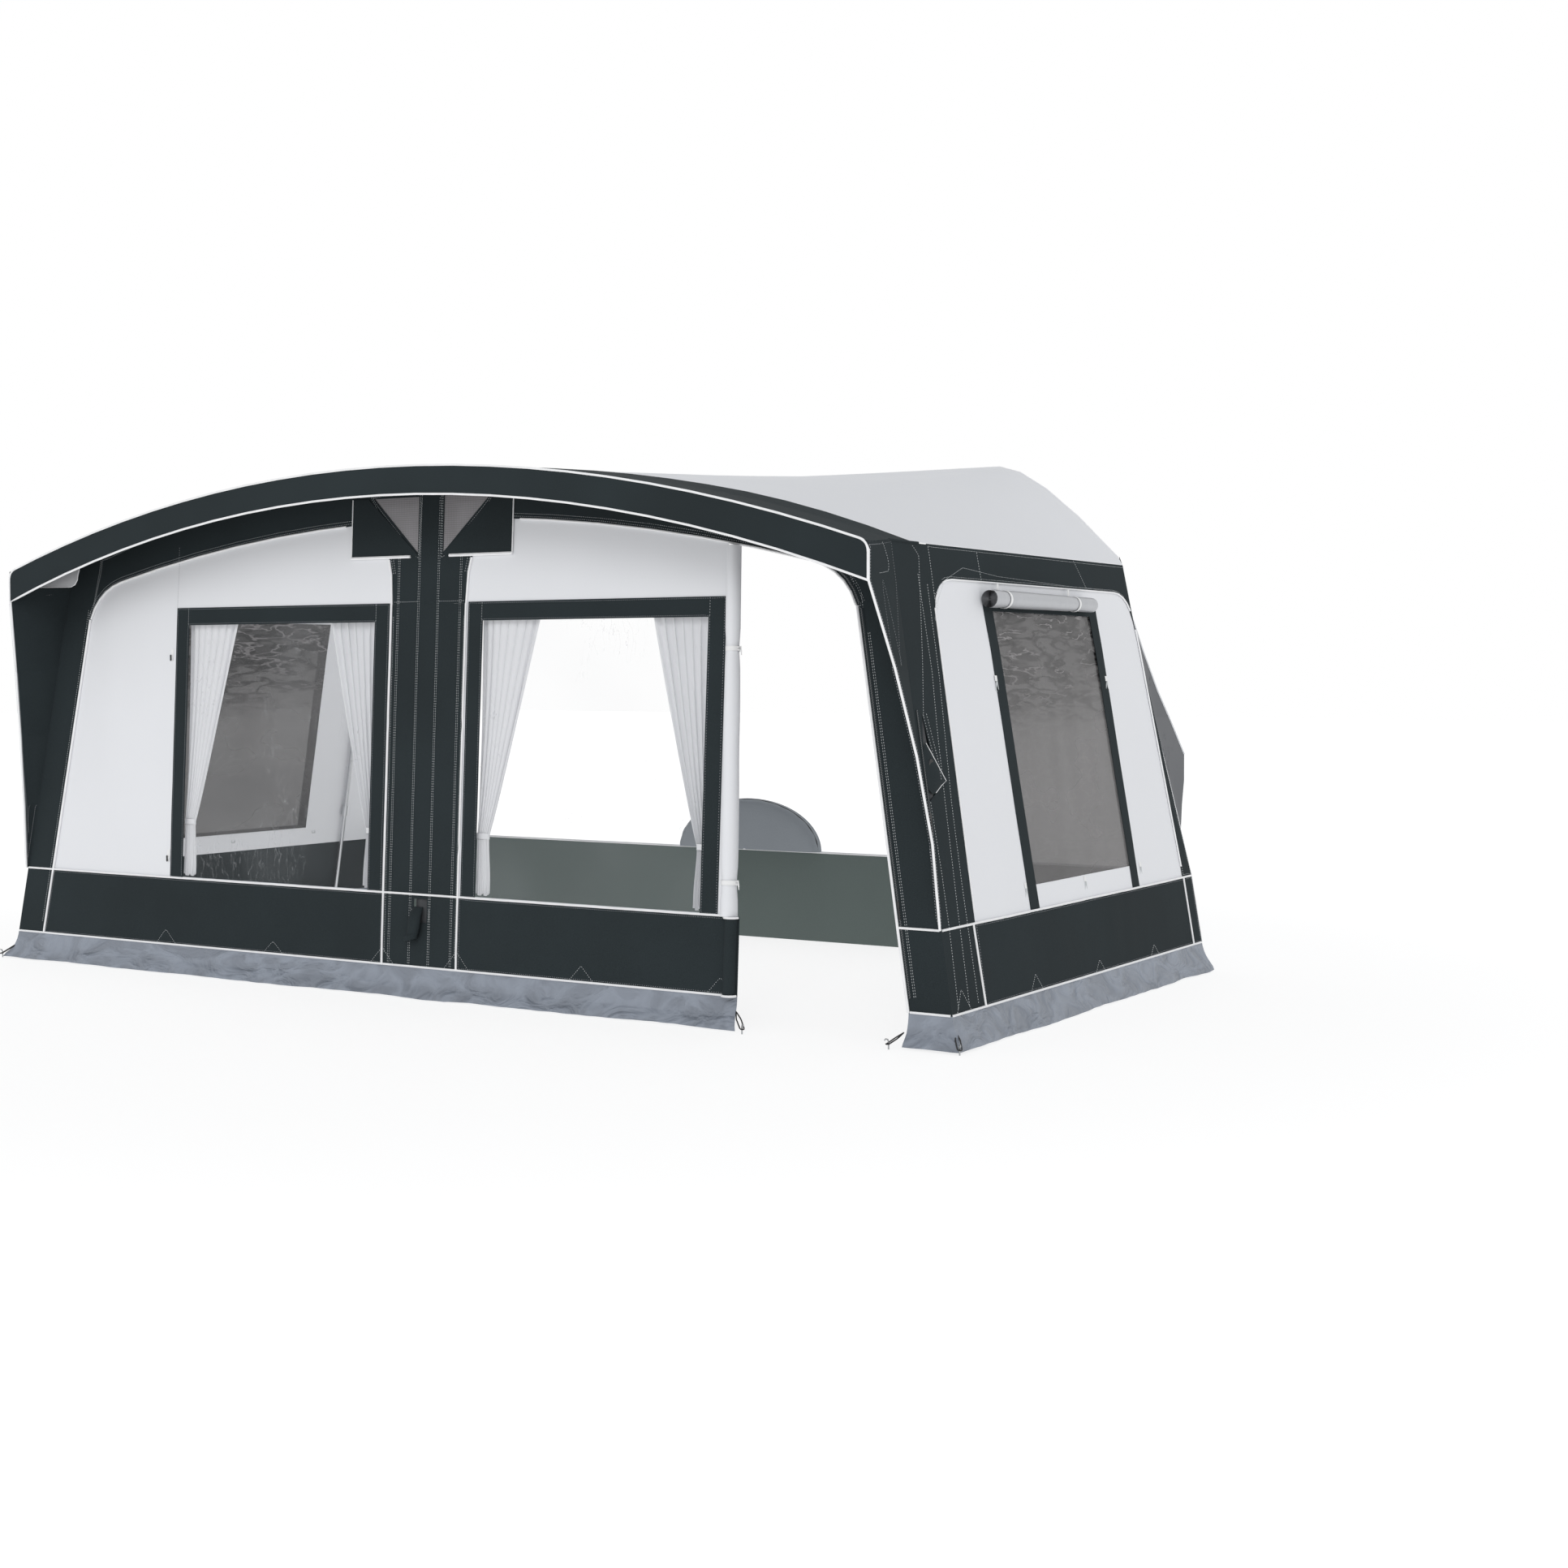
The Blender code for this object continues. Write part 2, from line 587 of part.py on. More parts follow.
def build_front_panels():
    x0, x1, z0, z1 = window_box()
    hole = rectangle(x0 - TAPE_LAP, x1 + TAPE_LAP, z0, z1 + TAPE_LAP)
    film = rectangle(x0 - TAPE_LAP - SEAM, x1 + TAPE_LAP + SEAM, z0 - SEAM + CLOTH, z1 + TAPE_LAP + SEAM)
    tape = [(WINDOW_NEAR, BAND + GAP), (WINDOW_NEAR, WINDOW_TOP), (WINDOW_FAR, WINDOW_TOP),
            (WINDOW_FAR, BAND + GAP), (x1, BAND + GAP), (x1, z1), (x0, z1), (x0, BAND + GAP)]
    full = opening_top(COLUMN_HALF - SEAM, SEAM, SEAM)
    base = BAND - SEAM
    left = [(jamb_x(base) + SEAM, base), (COLUMN_HALF - SEAM, base)] + full
    edge = WINDOW_FAR + GAP
    cut = [point for point in full if point[0] < edge] + [(edge, arch_z(edge) + SEAM)]
    right = [(edge + DOOR_ROLL_LEAN, BAND), (edge + DOOR_ROLL_LEAN, base), (COLUMN_HALF - SEAM, base)] + cut
    right.append((edge, DOOR_ROLL_TOP))
    for (side, sign), outline in zip(SIDES, (left, right)):
        plate("front_panel_" + side, LIGHT, on_front, mirrored(outline, sign), LAYER, LAYER + CLOTH,
              [mirrored(hole, sign)])
        plate("window_frame_" + side, ANTHRACITE, on_front, mirrored(tape, sign), 0, CLOTH)
        plate("window_film_" + side, CLEAR, on_front, mirrored(film, sign), 2 * LAYER, 2 * LAYER + CLOTH)
    near = COLUMN_HALF + GAP
    left_low = [(near, HEM), (jamb_x(HEM) - GAP, HEM), (jamb_x(BAND) - GAP, BAND), (near, BAND)]
    right_low = rectangle(near, DOOR_EDGE, HEM, BAND)
    plate("front_lower_left", ANTHRACITE, on_front, mirrored(left_low, -1), 0, CLOTH)
    plate("front_lower_right", ANTHRACITE, on_front, right_low, 0, CLOTH)
    foot = BAND + 2 * GAP
    places = [(foot, 0)] + [(mix(foot + SEAM, DOOR_ROLL_TOP, i / 4), i / 4) for i in range(5)]
    radii = [mix(DOOR_ROLL_FOOT_R, DOOR_ROLL_R, share) for z, share in places]
    path = [on_front(edge + GAP + mix(DOOR_ROLL_LEAN, 0, share) + radius, z, 0)
            for (z, share), radius in zip(places, radii)]
    tube("door_roll", LIGHT, path, radii, Vector((1, 0, 0)), 12)


# Side walls

def side_outline(front_lap, top_lap, base):
    """Outline of the light side panel in (y, z), from its lower rear corner forwards and round."""
    turn = SIDE_TURN
    top = SIDE_TOP + top_lap
    low = SIDE_TOP - turn
    front_curve = curve((seam_y(low) - front_lap, low), (seam_y(SIDE_TOP) - front_lap, top),
                        (seam_y(SIDE_TOP) + turn, top), 6)
    rear_curve = curve((bend_y(SIDE_TOP) - turn, top), (bend_y(SIDE_TOP), top), (bend_y(low), low), 6)
    return [(bend_y(base), base), (seam_y(base) - front_lap, base)] + front_curve + rear_curve


def build_side_frames():
    """Dark cloth over the light panel and behind it, turned in to the caravan's rail."""
    top = EAVES - CLOTH - GAP
    low = SIDE_TOP - SIDE_TURN
    opening = side_outline(0, 0, BAND)[2:]
    band = [(seam_y(low) + GAP, low)] + opening[1:] + [(bend_y(top), top), (seam_y(top) + GAP, top)]
    levels = [top, low, mix(BAND, low, 1 / 2), BAND + GAP]
    rear_y = ROOF_REAR
    for side, sign in SIDES:
        def place(y, z, d, share=0.0, lift=0.0):
            inset = (side_x(z) - rail_x(z)) * share
            return Vector((sign * (side_x(z) - inset - d), y, z + lift))
        faces = [tuple(face) for face in tessellate_polygon([[Vector((y, z, 0)) for y, z in band]])]
        spots = [(y, z, 0.0, 0.0) for y, z in band]
        bend_ids = [band.index((bend_y(top), top)), band.index((bend_y(low), low))]
        for z in levels[2:]:
            bend_ids.append(len(spots))
            spots.append((bend_y(z), z, 0.0, 0.0))
        rail_ids = []
        for z in levels:
            rail_ids.append(len(spots))
            reach = (rear_y - bend_y(z)) / (WALL_Y - bend_y(z))
            spots.append((rear_y, z, reach, (RAIL_EAVES - EAVES) * reach if z == top else 0.0))
        for i in range(len(levels) - 1):
            faces.append((bend_ids[i], bend_ids[i + 1], rail_ids[i + 1], rail_ids[i]))
        outer = [place(y, z, 0, share, lift) for y, z, share, lift in spots]
        inner = [place(y, z, CLOTH, share, lift) for y, z, share, lift in spots]
        shell("side_frame_" + side, ANTHRACITE, outer, inner, consistent(faces, spots))


def consistent(faces, spots):
    """Faces of a wall turned so that all run the same way round in (y, z)."""
    turned = []
    for face in faces:
        area = 0.0
        for a, b in zip(face, (*face[1:], face[0])):
            area += spots[a][0] * spots[b][1] - spots[b][0] * spots[a][1]
        turned.append(tuple(face) if area > 0 else tuple(reversed(face)))
    return turned


def build_side_panels():
    front, rear = WALL_Y - STRIP_FRONT, WALL_Y - STRIP_REAR
    lap = STRIP / 2
    hole = rectangle(front + lap, rear - lap, SIDE_GLASS_LOW, SIDE_GLASS_TOP)
    film = rectangle(front + lap - SEAM, rear - lap + SEAM, SIDE_GLASS_LOW - SEAM, SIDE_GLASS_TOP + SEAM)
    strips = [(front, BAND + GAP), (front + STRIP, BAND + GAP), (front + STRIP, SIDE_GLASS_TOP),
              (rear - STRIP, SIDE_GLASS_TOP), (rear - STRIP, BAND + GAP), (rear, BAND + GAP),
              (rear, STRIP_TOP), (front, STRIP_TOP)]
    outline = side_outline(SEAM, SEAM, BAND - SEAM)
    band = [(seam_y(HEM) + GAP, HEM), (ROOF_REAR, HEM), (ROOF_REAR, BAND), (seam_y(BAND) + GAP, BAND)]
    for side, sign in SIDES:
        place = on_side(sign)
        plate("side_panel_" + side, LIGHT, place, outline, LAYER, LAYER + CLOTH, [hole])
        plate("side_window_strips_" + side, ANTHRACITE, place, strips, 0, CLOTH)
        plate("side_window_film_" + side, TINTED, place, film, 2 * LAYER, 2 * LAYER + CLOTH)
        plate("side_lower_" + side, ANTHRACITE, place, band, 0, CLOTH)
        radii = [mix(BLIND_FRONT_R, BLIND_R, i / 4) for i in range(5)]
        path = [place(mix(WALL_Y - BLIND_FRONT, WALL_Y - BLIND_REAR, i / 4), BLIND_HEIGHT,
                      -GAP - radii[i] * SIDE_LEAN) for i in range(5)]
        tube("side_blind_" + side, FOIL, path, radii, Vector((1, 0, 0)), 12)


def build_mud_flaps():
    """Hem cloth from the lower band to the ground, its foot spread a little under the front wall."""
    levels = [(HEM - GAP, 0.0), (FLAP_BEND, 0.0), (0.0, FLAP_FLARE)]
    ends = [-jamb_x(HEM) + GAP, -COLUMN_HALF, COLUMN_HALF]
    outer = [[Vector((x, front_y(z) - flare, z)) for x in ends + [DOOR_EDGE + flare]] for z, flare in levels]
    inner = [[point + Vector((0, CLOTH, 0)) for point in row] for row in outer]
    sheet("mud_flap_front", PVC, outer, inner, smooth=False)
    for side, sign in SIDES:
        outer, inner = [], []
        for z, flare in levels:
            y, x = front_y(z) - flare, side_x(z)
            spots = [(jamb_x(HEM) + GAP, y), (x, y), (x, mix(y, ROOF_REAR, 1 / 2)), (x, ROOF_REAR)]
            back = [(jamb_x(HEM) + GAP, y + CLOTH), (x - CLOTH, y + CLOTH),
                    (x - CLOTH, mix(y, ROOF_REAR, 1 / 2)), (x - CLOTH, ROOF_REAR)]
            outer.append([Vector((sign * a, b, z)) for a, b in spots])
            inner.append([Vector((sign * a, b, z)) for a, b in back])
        sheet("mud_flap_side_" + side, PVC, outer, inner, smooth=False)


# Inflated beams

BEAM_IN_X = LAYER + BEAM_R * SIDE_LEAN
BEAM_IN_Y = LAYER + BEAM_R * FRONT_LEAN
ARCH_DEEP = CLOTH + LINING + BEAM_R


def leg_centre(z, sign=1):
    return Vector((sign * (side_x(z) - BEAM_IN_X), front_y(z) + BEAM_IN_Y, z))


def arch_centre(t):
    """Centre of the arch beam under the roof cloth."""
    y = front_y(RIDGE) + BEAM_IN_Y
    point = roof_inside(t, y, ARCH_DEEP)
    point.y = front_y(point.z) + BEAM_IN_Y
    return point


def arch_path():
    """Centre line of the front beam, from the right foot over the arch to the left foot."""
    leg_top = leg_centre(EAVES - KNEE)
    foot = leg_centre(FOOT)
    end_t = (leg_centre(EAVES).x - KNEE) / EAVES_HALF
    arch_end = arch_centre(end_t)
    before = arch_centre(end_t - 1 / ROOF_STEPS)
    slope = (arch_end.z - before.z) / (arch_end.x - before.x)
    lean = (leg_top.x - foot.x) / (leg_top.z - foot.z)
    rise = (leg_top.x - arch_end.x + lean * (arch_end.z - leg_top.z)) / (1 - lean * slope)
    corner_x = arch_end.x + rise
    corner_z = arch_end.z + slope * rise
    knee = curve(tuple(leg_top), (corner_x, front_y(corner_z) + BEAM_IN_Y, corner_z), tuple(arch_end), 6)
    half = [foot, mix(foot, leg_top, 1 / 2)] + [Vector(point) for point in knee]
    steps = 9
    half += [arch_centre(mix(end_t, 0, i / steps)) for i in range(1, steps)]
    crown = arch_centre(0)
    mirror = [Vector((-point.x, point.y, point.z)) for point in reversed(half)]
    return half + [crown] + mirror


def centre_leg_path():
    base = Vector((0, front_y(FOOT) + LAYER + LEG_R * FRONT_LEAN, FOOT))
    crown = arch_centre(0)
    return [base, mix(base, crown, 1 / 2), crown]


def build_beams():
    path = arch_path()
    up = Vector((0, 1, 0))
    tube("front_arch_beam", BLADDER, path, BEAM_R, up)
    cutter = tube("arch_cutter", BLACK, path, BEAM_R + GAP, up)
    crown = arch_centre(0)
    leg = tube("centre_leg_beam", BLADDER, centre_leg_path(), LEG_R, up)
    subtract(leg, cutter)
    deep = CLOTH + LINING + ROOF_BEAM_R
    end = WALL_Y - ROOF_BEAM_END
    start = crown.y + ROOF_BEAM_R
    depths = [mix(start, end, i / 6) for i in range(7)]
    centre = [roof_inside(0, y, deep) for y in depths]
    middle = tube("roof_beam_centre", BLADDER, centre, ROOF_BEAM_R, Vector((0, 0, 1)))
    subtract(middle, cutter)
    for side, sign in SIDES:
        beam = tube("eaves_beam_" + side, BLADDER, eaves_path(sign), ROOF_BEAM_R, Vector((0, 0, 1)))
        subtract(beam, cutter)


def eaves_path(sign):
    """Centre line of a beam under the eaves, from the arch back to the caravan."""
    start = leg_centre(EAVES).y + ROOF_BEAM_R
    bend = WALL_Y - BEND_TOP
    path = []
    for y in [mix(start, bend, i / 4) for i in range(5)] + [WALL_Y - ROOF_BEAM_END]:
        half, edge = roof_edge(y)
        z = edge - ROOF_BEAM_R
        inset = 2 * LAYER + ROOF_BEAM_R * SIDE_LEAN + EAVES_HALF - half
        path.append(Vector((sign * (side_x(EAVES - ROOF_BEAM_R) - inset), y, z)))
    return path


# At the caravan

def keder_path():
    """Line of the bead along the side walls' rear edges and the roof's, from the right hem to the left."""
    y = WALL_Y - KEDER_R
    half = CLOTH / 2
    heights = [HEM, BAND, mix(BAND, SIDE_TOP - SIDE_TURN, 1 / 2), SIDE_TOP - SIDE_TURN]
    climb = [Vector((rail_x(z) - half, y, z)) for z in heights]
    over = [roof_point(i / ROOF_STEPS, y) - Vector((0, 0, half)) for i in range(ROOF_STEPS, -1, -1)]
    right = climb + over
    left = [Vector((-point.x, point.y, point.z)) for point in reversed(right[:-1])]
    return right + left


def build_rear():
    tube("keder_bead", WHITE, keder_path(), KEDER_R, Vector((0, 1, 0)), 6)
    skirt_y = WALL_Y - SKIRT_SETBACK

    def place(x, z, d):
        return Vector((x, skirt_y - d, z))
    edge = [(rail_x(z) - LAYER, z) for z in (0.0, BAND, SKIRT_TOP)]
    outline = edge + list(reversed(mirrored(edge, -1)))
    plate("draught_skirt", SKIRT, place, outline, 0, CLOTH)
    steps = 14
    rise = WHEEL_TOP - SKIRT_TOP - GAP
    rings = []
    dome_shares = ((1.0, 0.0), (0.96, 1.0), (0.88, 1.4))     # of the half width, and of the bulge
    for share, out_share in dome_shares:
        arc = [(WHEEL_X + WHEEL_HALF * share * cos(pi * i / steps),
                SKIRT_TOP + GAP + rise * share * sin(pi * i / steps)) for i in range(steps + 1)]
        rings.append([place(x, z, WHEEL_BULGE * out_share) for x, z in arc])
    loft("wheel_arch_cover", ARCH_COVER, rings, smooth=True)


def upright_point(z, sign):
    inset = 2 * LAYER + COLLAR_R * SIDE_LEAN
    return Vector((sign * (side_x(z) - inset), WALL_Y - UPRIGHT_SETBACK, z))


def build_uprights():
    """Telescopic poles behind the side walls' rear edges."""
    up = Vector((0, 1, 0))
    sides = 12
    for side, sign in SIDES:
        low, high = upright_point(UPRIGHT_LOW, sign), upright_point(EAVES - ROOF_BEAM_R, sign)
        along = (high - low).normalized()
        collar = low + along * COLLAR_H
        outer = [ring(low, along, up, COLLAR_R, sides), ring(collar, along, up, COLLAR_R, sides),
                 ring(collar, along, up, UPRIGHT_R, sides), ring(high, along, up, UPRIGHT_R, sides)]
        bore_end = low + along * (STEM_INSIDE + STEM_STROKE + OVERRUN)
        bore = [ring(bore_end, along, up, UPRIGHT_BORE_R, sides), ring(low, along, up, UPRIGHT_BORE_R, sides)]
        pole = loft("rear_upright_" + side, ALLOY, bore + outer, smooth=True)
        cutter = tube("eaves_cutter_" + side, BLACK, eaves_path(sign), ROOF_BEAM_R + GAP, Vector((0, 0, 1)))
        subtract(pole, cutter)
        stem_top = low + along * STEM_INSIDE
        foot_z = STEM_FOOT_T
        stem_base = upright_point(foot_z, sign)
        pad = [ring(Vector((stem_base.x - sign * COLLAR_R, stem_base.y, z)), Vector((0, 0, 1)), up,
                    STEM_FOOT_R, sides) for z in (0.0, foot_z)]
        stem = [ring(stem_base, along, up, STEM_R, sides), ring(stem_top, along, up, STEM_R, sides)]
        for point in stem[0]:
            point.z = foot_z
        loft("rear_foot_" + side, ALLOY, pad + stem, smooth=True)


# Curtains

def curtain_rows(outer_x, inner_x, sign, shift):
    """Cloth gathered to its outer edge at the tie; x grows away from the column."""
    count = CURTAIN_PLEATS * 4
    top = TRACK_Z - GAP
    width_shares = (1.0, 7 / 9, 1 / 2)      # of the width at the top, in equal steps down to the tie
    levels = [(mix(top, CURTAIN_TIE_Z, i / len(width_shares)), CURTAIN_TOP_WIDTH * share)
              for i, share in enumerate(width_shares)]
    levels += [(CURTAIN_TIE_Z, CURTAIN_TIE_WIDTH), (CURTAIN_LOW, CURTAIN_TAIL_WIDTH)]
    inward = 1 if inner_x > outer_x else -1
    rows = []
    for z, width in levels:
        row = []
        for i in range(count + 1):
            wave = CURTAIN_FOLD * sin(tau * CURTAIN_PLEATS * i / count)
            x = outer_x + inward * width * i / count
            row.append(on_front(sign * x, z, 2 * LAYER + CLOTH + GAP + TRACK_DEEP / 2 + wave + shift))
        rows.append(row)
    return rows


def build_curtains():
    x0, x1, _, _ = window_box()
    near = 2 * LAYER + CLOTH + GAP
    for side, sign in SIDES:
        track = mirrored(rectangle(x0 - TRACK_END, x1 + TRACK_END, TRACK_Z, TRACK_Z + TRACK_HIGH), sign)
        plate("curtain_track_" + side, WHITE, on_front, track, near, near + TRACK_DEEP)
        for where, start, stop in (("outer", x1 + CURTAIN_LAP, x0), ("inner", x0 - CURTAIN_LAP, x1)):
            name = "curtain_{}_{}".format(side, where)
            sheet(name, VOILE, curtain_rows(start, stop, sign, 0), curtain_rows(start, stop, sign, CLOTH))


# Valve and zip sliders

def build_valve():
    """Valve on the right leg behind the slit, with its cap hinged at the top."""
    seat = leg_centre(VALVE_Z)
    face = side_x(VALVE_Z) + VALVE_FACE
    across = Vector((1, 0, 0))
    up = Vector((0, 0, 1))
    sides = 16

    def disc(x, radius):
        return ring(Vector((x, seat.y, VALVE_Z)), across, up, radius, sides)
    body = loft("valve_body", BLACK, [disc(seat.x, VALVE_R), disc(face, VALVE_R)], smooth=True)
    cutter = tube("leg_cutter", BLACK, arch_path(), BEAM_R + GAP, Vector((0, 1, 0)))
    subtract(body, cutter)
    near, far = face + GAP, face + GAP + CAP_T
    cap = loft("valve_cap", BLACK, [disc(near, VALVE_R), disc(far - CAP_T / 4, VALVE_R),
                                    disc(far, VALVE_R - CAP_T / 4)], smooth=True)
    return body, cap


def slider(name, base, out, along):
    """Zip slider with its pull hanging below, lying on cloth that faces outwards."""
    across = along.cross(out).normalized()
    out = across.cross(along).normalized()

    def at(u, v, w):
        return base + across * u + along * v + out * w
    half, tall = SLIDER_WIDE / 2, SLIDER_LONG / 2
    narrow = PULL_WIDE / 2
    outline = [(-half, tall), (half, tall), (half, -tall / 2), (narrow, -tall), (narrow, -tall - PULL_LONG),
               (-narrow, -tall - PULL_LONG), (-narrow, -tall), (-half, -tall / 2)]
    rings = [[at(u, v, w) for u, v in outline] for w in (GAP, SLIDER_T)]
    thing = loft(name, BLACK, rings)
    bevel(thing, SLIDER_T / 6)


def build_sliders():
    z = DOOR_SLIDER_Z + PULL_LONG
    up = on_front(jamb_x(EAVES), EAVES, 0) - on_front(jamb_x(BAND), BAND, 0)
    base = on_front(jamb_x(z) + SLIDER_FROM_EDGE, z, 0)
    slider("door_zip_slider", base, Vector((0, -1, 0)), up.normalized())
    z = SLIT_LOW - SLIT_SLIDER_DROP
    up = (leg_centre(EAVES) - leg_centre(z)).normalized()
    base = Vector((side_x(z), leg_centre(z).y - SLIT_HALF - SLIDER_WIDE, z))
    slider("slit_zip_slider", base, Vector((1, 0, 0)), up)


def main():
    clear_scene()
    build_roof()
    build_canopy()
    build_arch_sleeve()
    build_vents()
    build_corner_sleeves()
    build_column()
    build_front_panels()
    build_side_frames()
    build_side_panels()
    build_mud_flaps()
    build_beams()
    build_rear()
    build_uprights()
    build_curtains()
    build_valve()
    build_sliders()


main()
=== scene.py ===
"""Looks of an awning on an inflated frame: its cloth, films, piping, sewing, zips, ties and pegs."""

from math import ceil, cos, exp, hypot, pi, radians, sin, tau

import bmesh
import bpy
from bpy.props import FloatProperty, FloatVectorProperty, IntProperty, PointerProperty
from mathutils import Euler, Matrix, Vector, noise
from mathutils.bvhtree import BVHTree


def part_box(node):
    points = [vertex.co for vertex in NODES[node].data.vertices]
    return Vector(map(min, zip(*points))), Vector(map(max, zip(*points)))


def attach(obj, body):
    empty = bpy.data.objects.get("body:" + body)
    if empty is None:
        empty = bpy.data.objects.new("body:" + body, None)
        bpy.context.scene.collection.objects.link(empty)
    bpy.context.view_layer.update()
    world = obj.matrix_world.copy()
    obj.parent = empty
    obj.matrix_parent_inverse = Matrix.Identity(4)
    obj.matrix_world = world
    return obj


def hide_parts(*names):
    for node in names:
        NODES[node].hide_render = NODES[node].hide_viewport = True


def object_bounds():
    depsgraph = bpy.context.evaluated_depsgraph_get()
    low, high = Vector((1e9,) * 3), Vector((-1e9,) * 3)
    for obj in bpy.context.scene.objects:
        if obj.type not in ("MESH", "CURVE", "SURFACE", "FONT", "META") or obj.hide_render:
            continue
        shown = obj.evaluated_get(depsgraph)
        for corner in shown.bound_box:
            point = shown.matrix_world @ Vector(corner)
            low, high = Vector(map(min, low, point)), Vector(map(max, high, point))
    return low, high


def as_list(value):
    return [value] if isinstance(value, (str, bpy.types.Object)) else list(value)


bl_info = {
    "name": "Awning looks",
    "version": (1, 0, 0),
    "blender": (4, 5, 0),
    "location": "View3D > Sidebar > Awning",
    "description": "Dresses an awning's frame in draped cloth, trims and fittings",
    "category": "Add Mesh",
}

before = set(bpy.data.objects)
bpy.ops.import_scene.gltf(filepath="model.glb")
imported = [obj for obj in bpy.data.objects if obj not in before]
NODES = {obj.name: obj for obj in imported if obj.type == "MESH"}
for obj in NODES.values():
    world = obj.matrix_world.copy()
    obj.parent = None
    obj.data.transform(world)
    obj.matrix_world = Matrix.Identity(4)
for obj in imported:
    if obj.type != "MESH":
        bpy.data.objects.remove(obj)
CAD_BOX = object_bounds()

SIDES = (("left", -1), ("right", 1))
FRONT, RIGHT, UP = Vector((0, -1, 0)), Vector((1, 0, 0)), Vector((0, 0, 1))
CORNER = {sign: Vector((sign, -1, 0)).normalized() for side, sign in SIDES}
LOW, HIGH = 0, 1
MESH_MERGE = 0.00002       # corners nearer than this are one


def level(node, corner, axis):
    """One coordinate of a node's box."""
    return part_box(node)[corner]["xyz".index(axis)]


HEM = level("front_lower_left", LOW, "z")
BAND = level("front_lower_left", HIGH, "z")
COLUMN_EDGE = level("centre_column_sleeve", HIGH, "x")
COLUMN_TOP = level("centre_column_sleeve", HIGH, "z")
FRAME_TOP = level("window_frame_right", HIGH, "z")
VENT_LOW = level("vent_flap_left", LOW, "z")
VENT_END = level("vent_flap_right", HIGH, "x")
JAMB = level("corner_sleeve_right", LOW, "x")
ROLL_EDGE = level("door_roll", LOW, "x")
ROLL_LOW = level("side_blind_right", LOW, "z")
ROOF_FRONT = level("roof_panel", LOW, "y")
BEAM_HALF = level("roof_beam_centre", HIGH, "x")
EAVES_BEAM = level("eaves_beam_right", LOW, "x")
REAR_WALL = CAD_BOX[HIGH].y
SIDE_FACE = level("side_lower_right", HIGH, "x")
FILM_LOW, FILM_HIGH = (level("side_window_film_right", corner, "z") for corner in (LOW, HIGH))
PANEL_FRONT, PANEL_REAR = (level("side_panel_right", corner, "y") for corner in (LOW, HIGH))
ARCH_LOW = level("front_arch_sleeve", LOW, "z")
SLEEVE_END = level("front_arch_sleeve", HIGH, "x") - 0.02
WING_TOP = level("wing_right", HIGH, "z") - 0.03
SIDE_TOP = level("side_panel_right", HIGH, "z") - 0.04
JAMB_BACK = -1.16          # a corner sleeve's doorway edge lies in front of this
OVERLAP = COLUMN_EDGE - 0.012              # here two lengths of mud flap meet
FLAP_TURN = (1.19, 1.25)   # so far forward a mud flap turns from the side to the front
EAVES_HALF = level("wing_right", LOW, "x") + 0.002
EAVES_LOW = level("roof_front_band", LOW, "z") + 0.025
BAND_ROLL_R = 0.033        # the doorway's rolled dark band: its radius, its middle and where it starts
BAND_ROLL_X = level("front_lower_right", HIGH, "x") - BAND_ROLL_R
BAND_ROLL = BAND_ROLL_X - BAND_ROLL_R * 0.85

SEAM_REACH = 0.10          # how far from a seam the wall's cloth starts to stand out
BROAD_SHARE = 0.6          # of a wall's folds, the share of the broad ones
LEAST_FILL_SHARE = 0.45    # cloth that fills less of its box is cut as a tape that runs round it
FACING = 0.5               # a face belongs to a side that its normal points to by more than this
ROLL_CELL = 0.035          # spacing of a roll's rings
ROLL_END = 0.008           # the corners so near a roll's end make its rim
ROLL_GATHER = 0.036        # a rolled door's cloth goes on so far up to the arch
CLOTH_GAP = 0.0015         # kept free between a curtain and its box

FRONT_CLOTH = ("front_arch_sleeve", "centre_column_sleeve", "corner_sleeve_left", "corner_sleeve_right",
               "front_panel_left", "front_panel_right", "front_lower_left", "front_lower_right",
               "window_frame_left", "window_frame_right", "mud_flap_front")
SIDE_CLOTH = ("corner_sleeve_", "side_frame_", "side_panel_", "side_lower_", "side_window_strips_",
              "mud_flap_side_")


def colour(name, description, default):
    """A colour that a user can change."""
    return FloatVectorProperty(name=name, description=description, subtype="COLOR", default=default)


def length(name, description, default, least=0.0):
    """A length that a user can change."""
    return FloatProperty(name=name, description=description, unit="LENGTH", default=default, min=least)


def amount(name, description, default, least=0.0):
    """A plain number that a user can change."""
    return FloatProperty(name=name, description=description, default=default, min=least)


class ClothSettings(bpy.types.PropertyGroup):
    """Colours and drape of the cloths."""
    anthracite: colour("Anthracite", "Dark cloth of sleeves and bands", (0.022, 0.029, 0.032))
    light: colour("Light grey", "Light cloth of walls and roof", (0.755, 0.763, 0.787))
    flap: colour("Mud flap", "Coated cloth of the mud flaps", (0.225, 0.250, 0.295))
    # the skirt's colour is raised to make up for the shade it sits in: painted light
    skirt: colour("Skirt", "Cloth of the draught skirt", (0.125, 0.155, 0.146))
    cover: colour("Wheel cover", "Cloth of the wheel arch cover", (0.280, 0.305, 0.330))
    voile: colour("Voile", "Curtain cloth", (0.720, 0.725, 0.745))
    cell: length("Drape cell", "Spacing of the cloth's grid", 0.055, 0.01)
    flap_cell: length("Flap cell", "Spacing of the mud flaps' finer grid", 0.022, 0.01)
    slack: length("Wall slack", "How far the walls' cloth stands out between seams", 0.009)
    sag: length("Roof sag", "How far the roof sinks between its beams", 0.022)
    crumple: length("Flap crumple", "How far the mud flaps' lower edge wanders", 0.046)
    flare: length("Flap flare", "How far the mud flaps spread on the ground", 0.030)


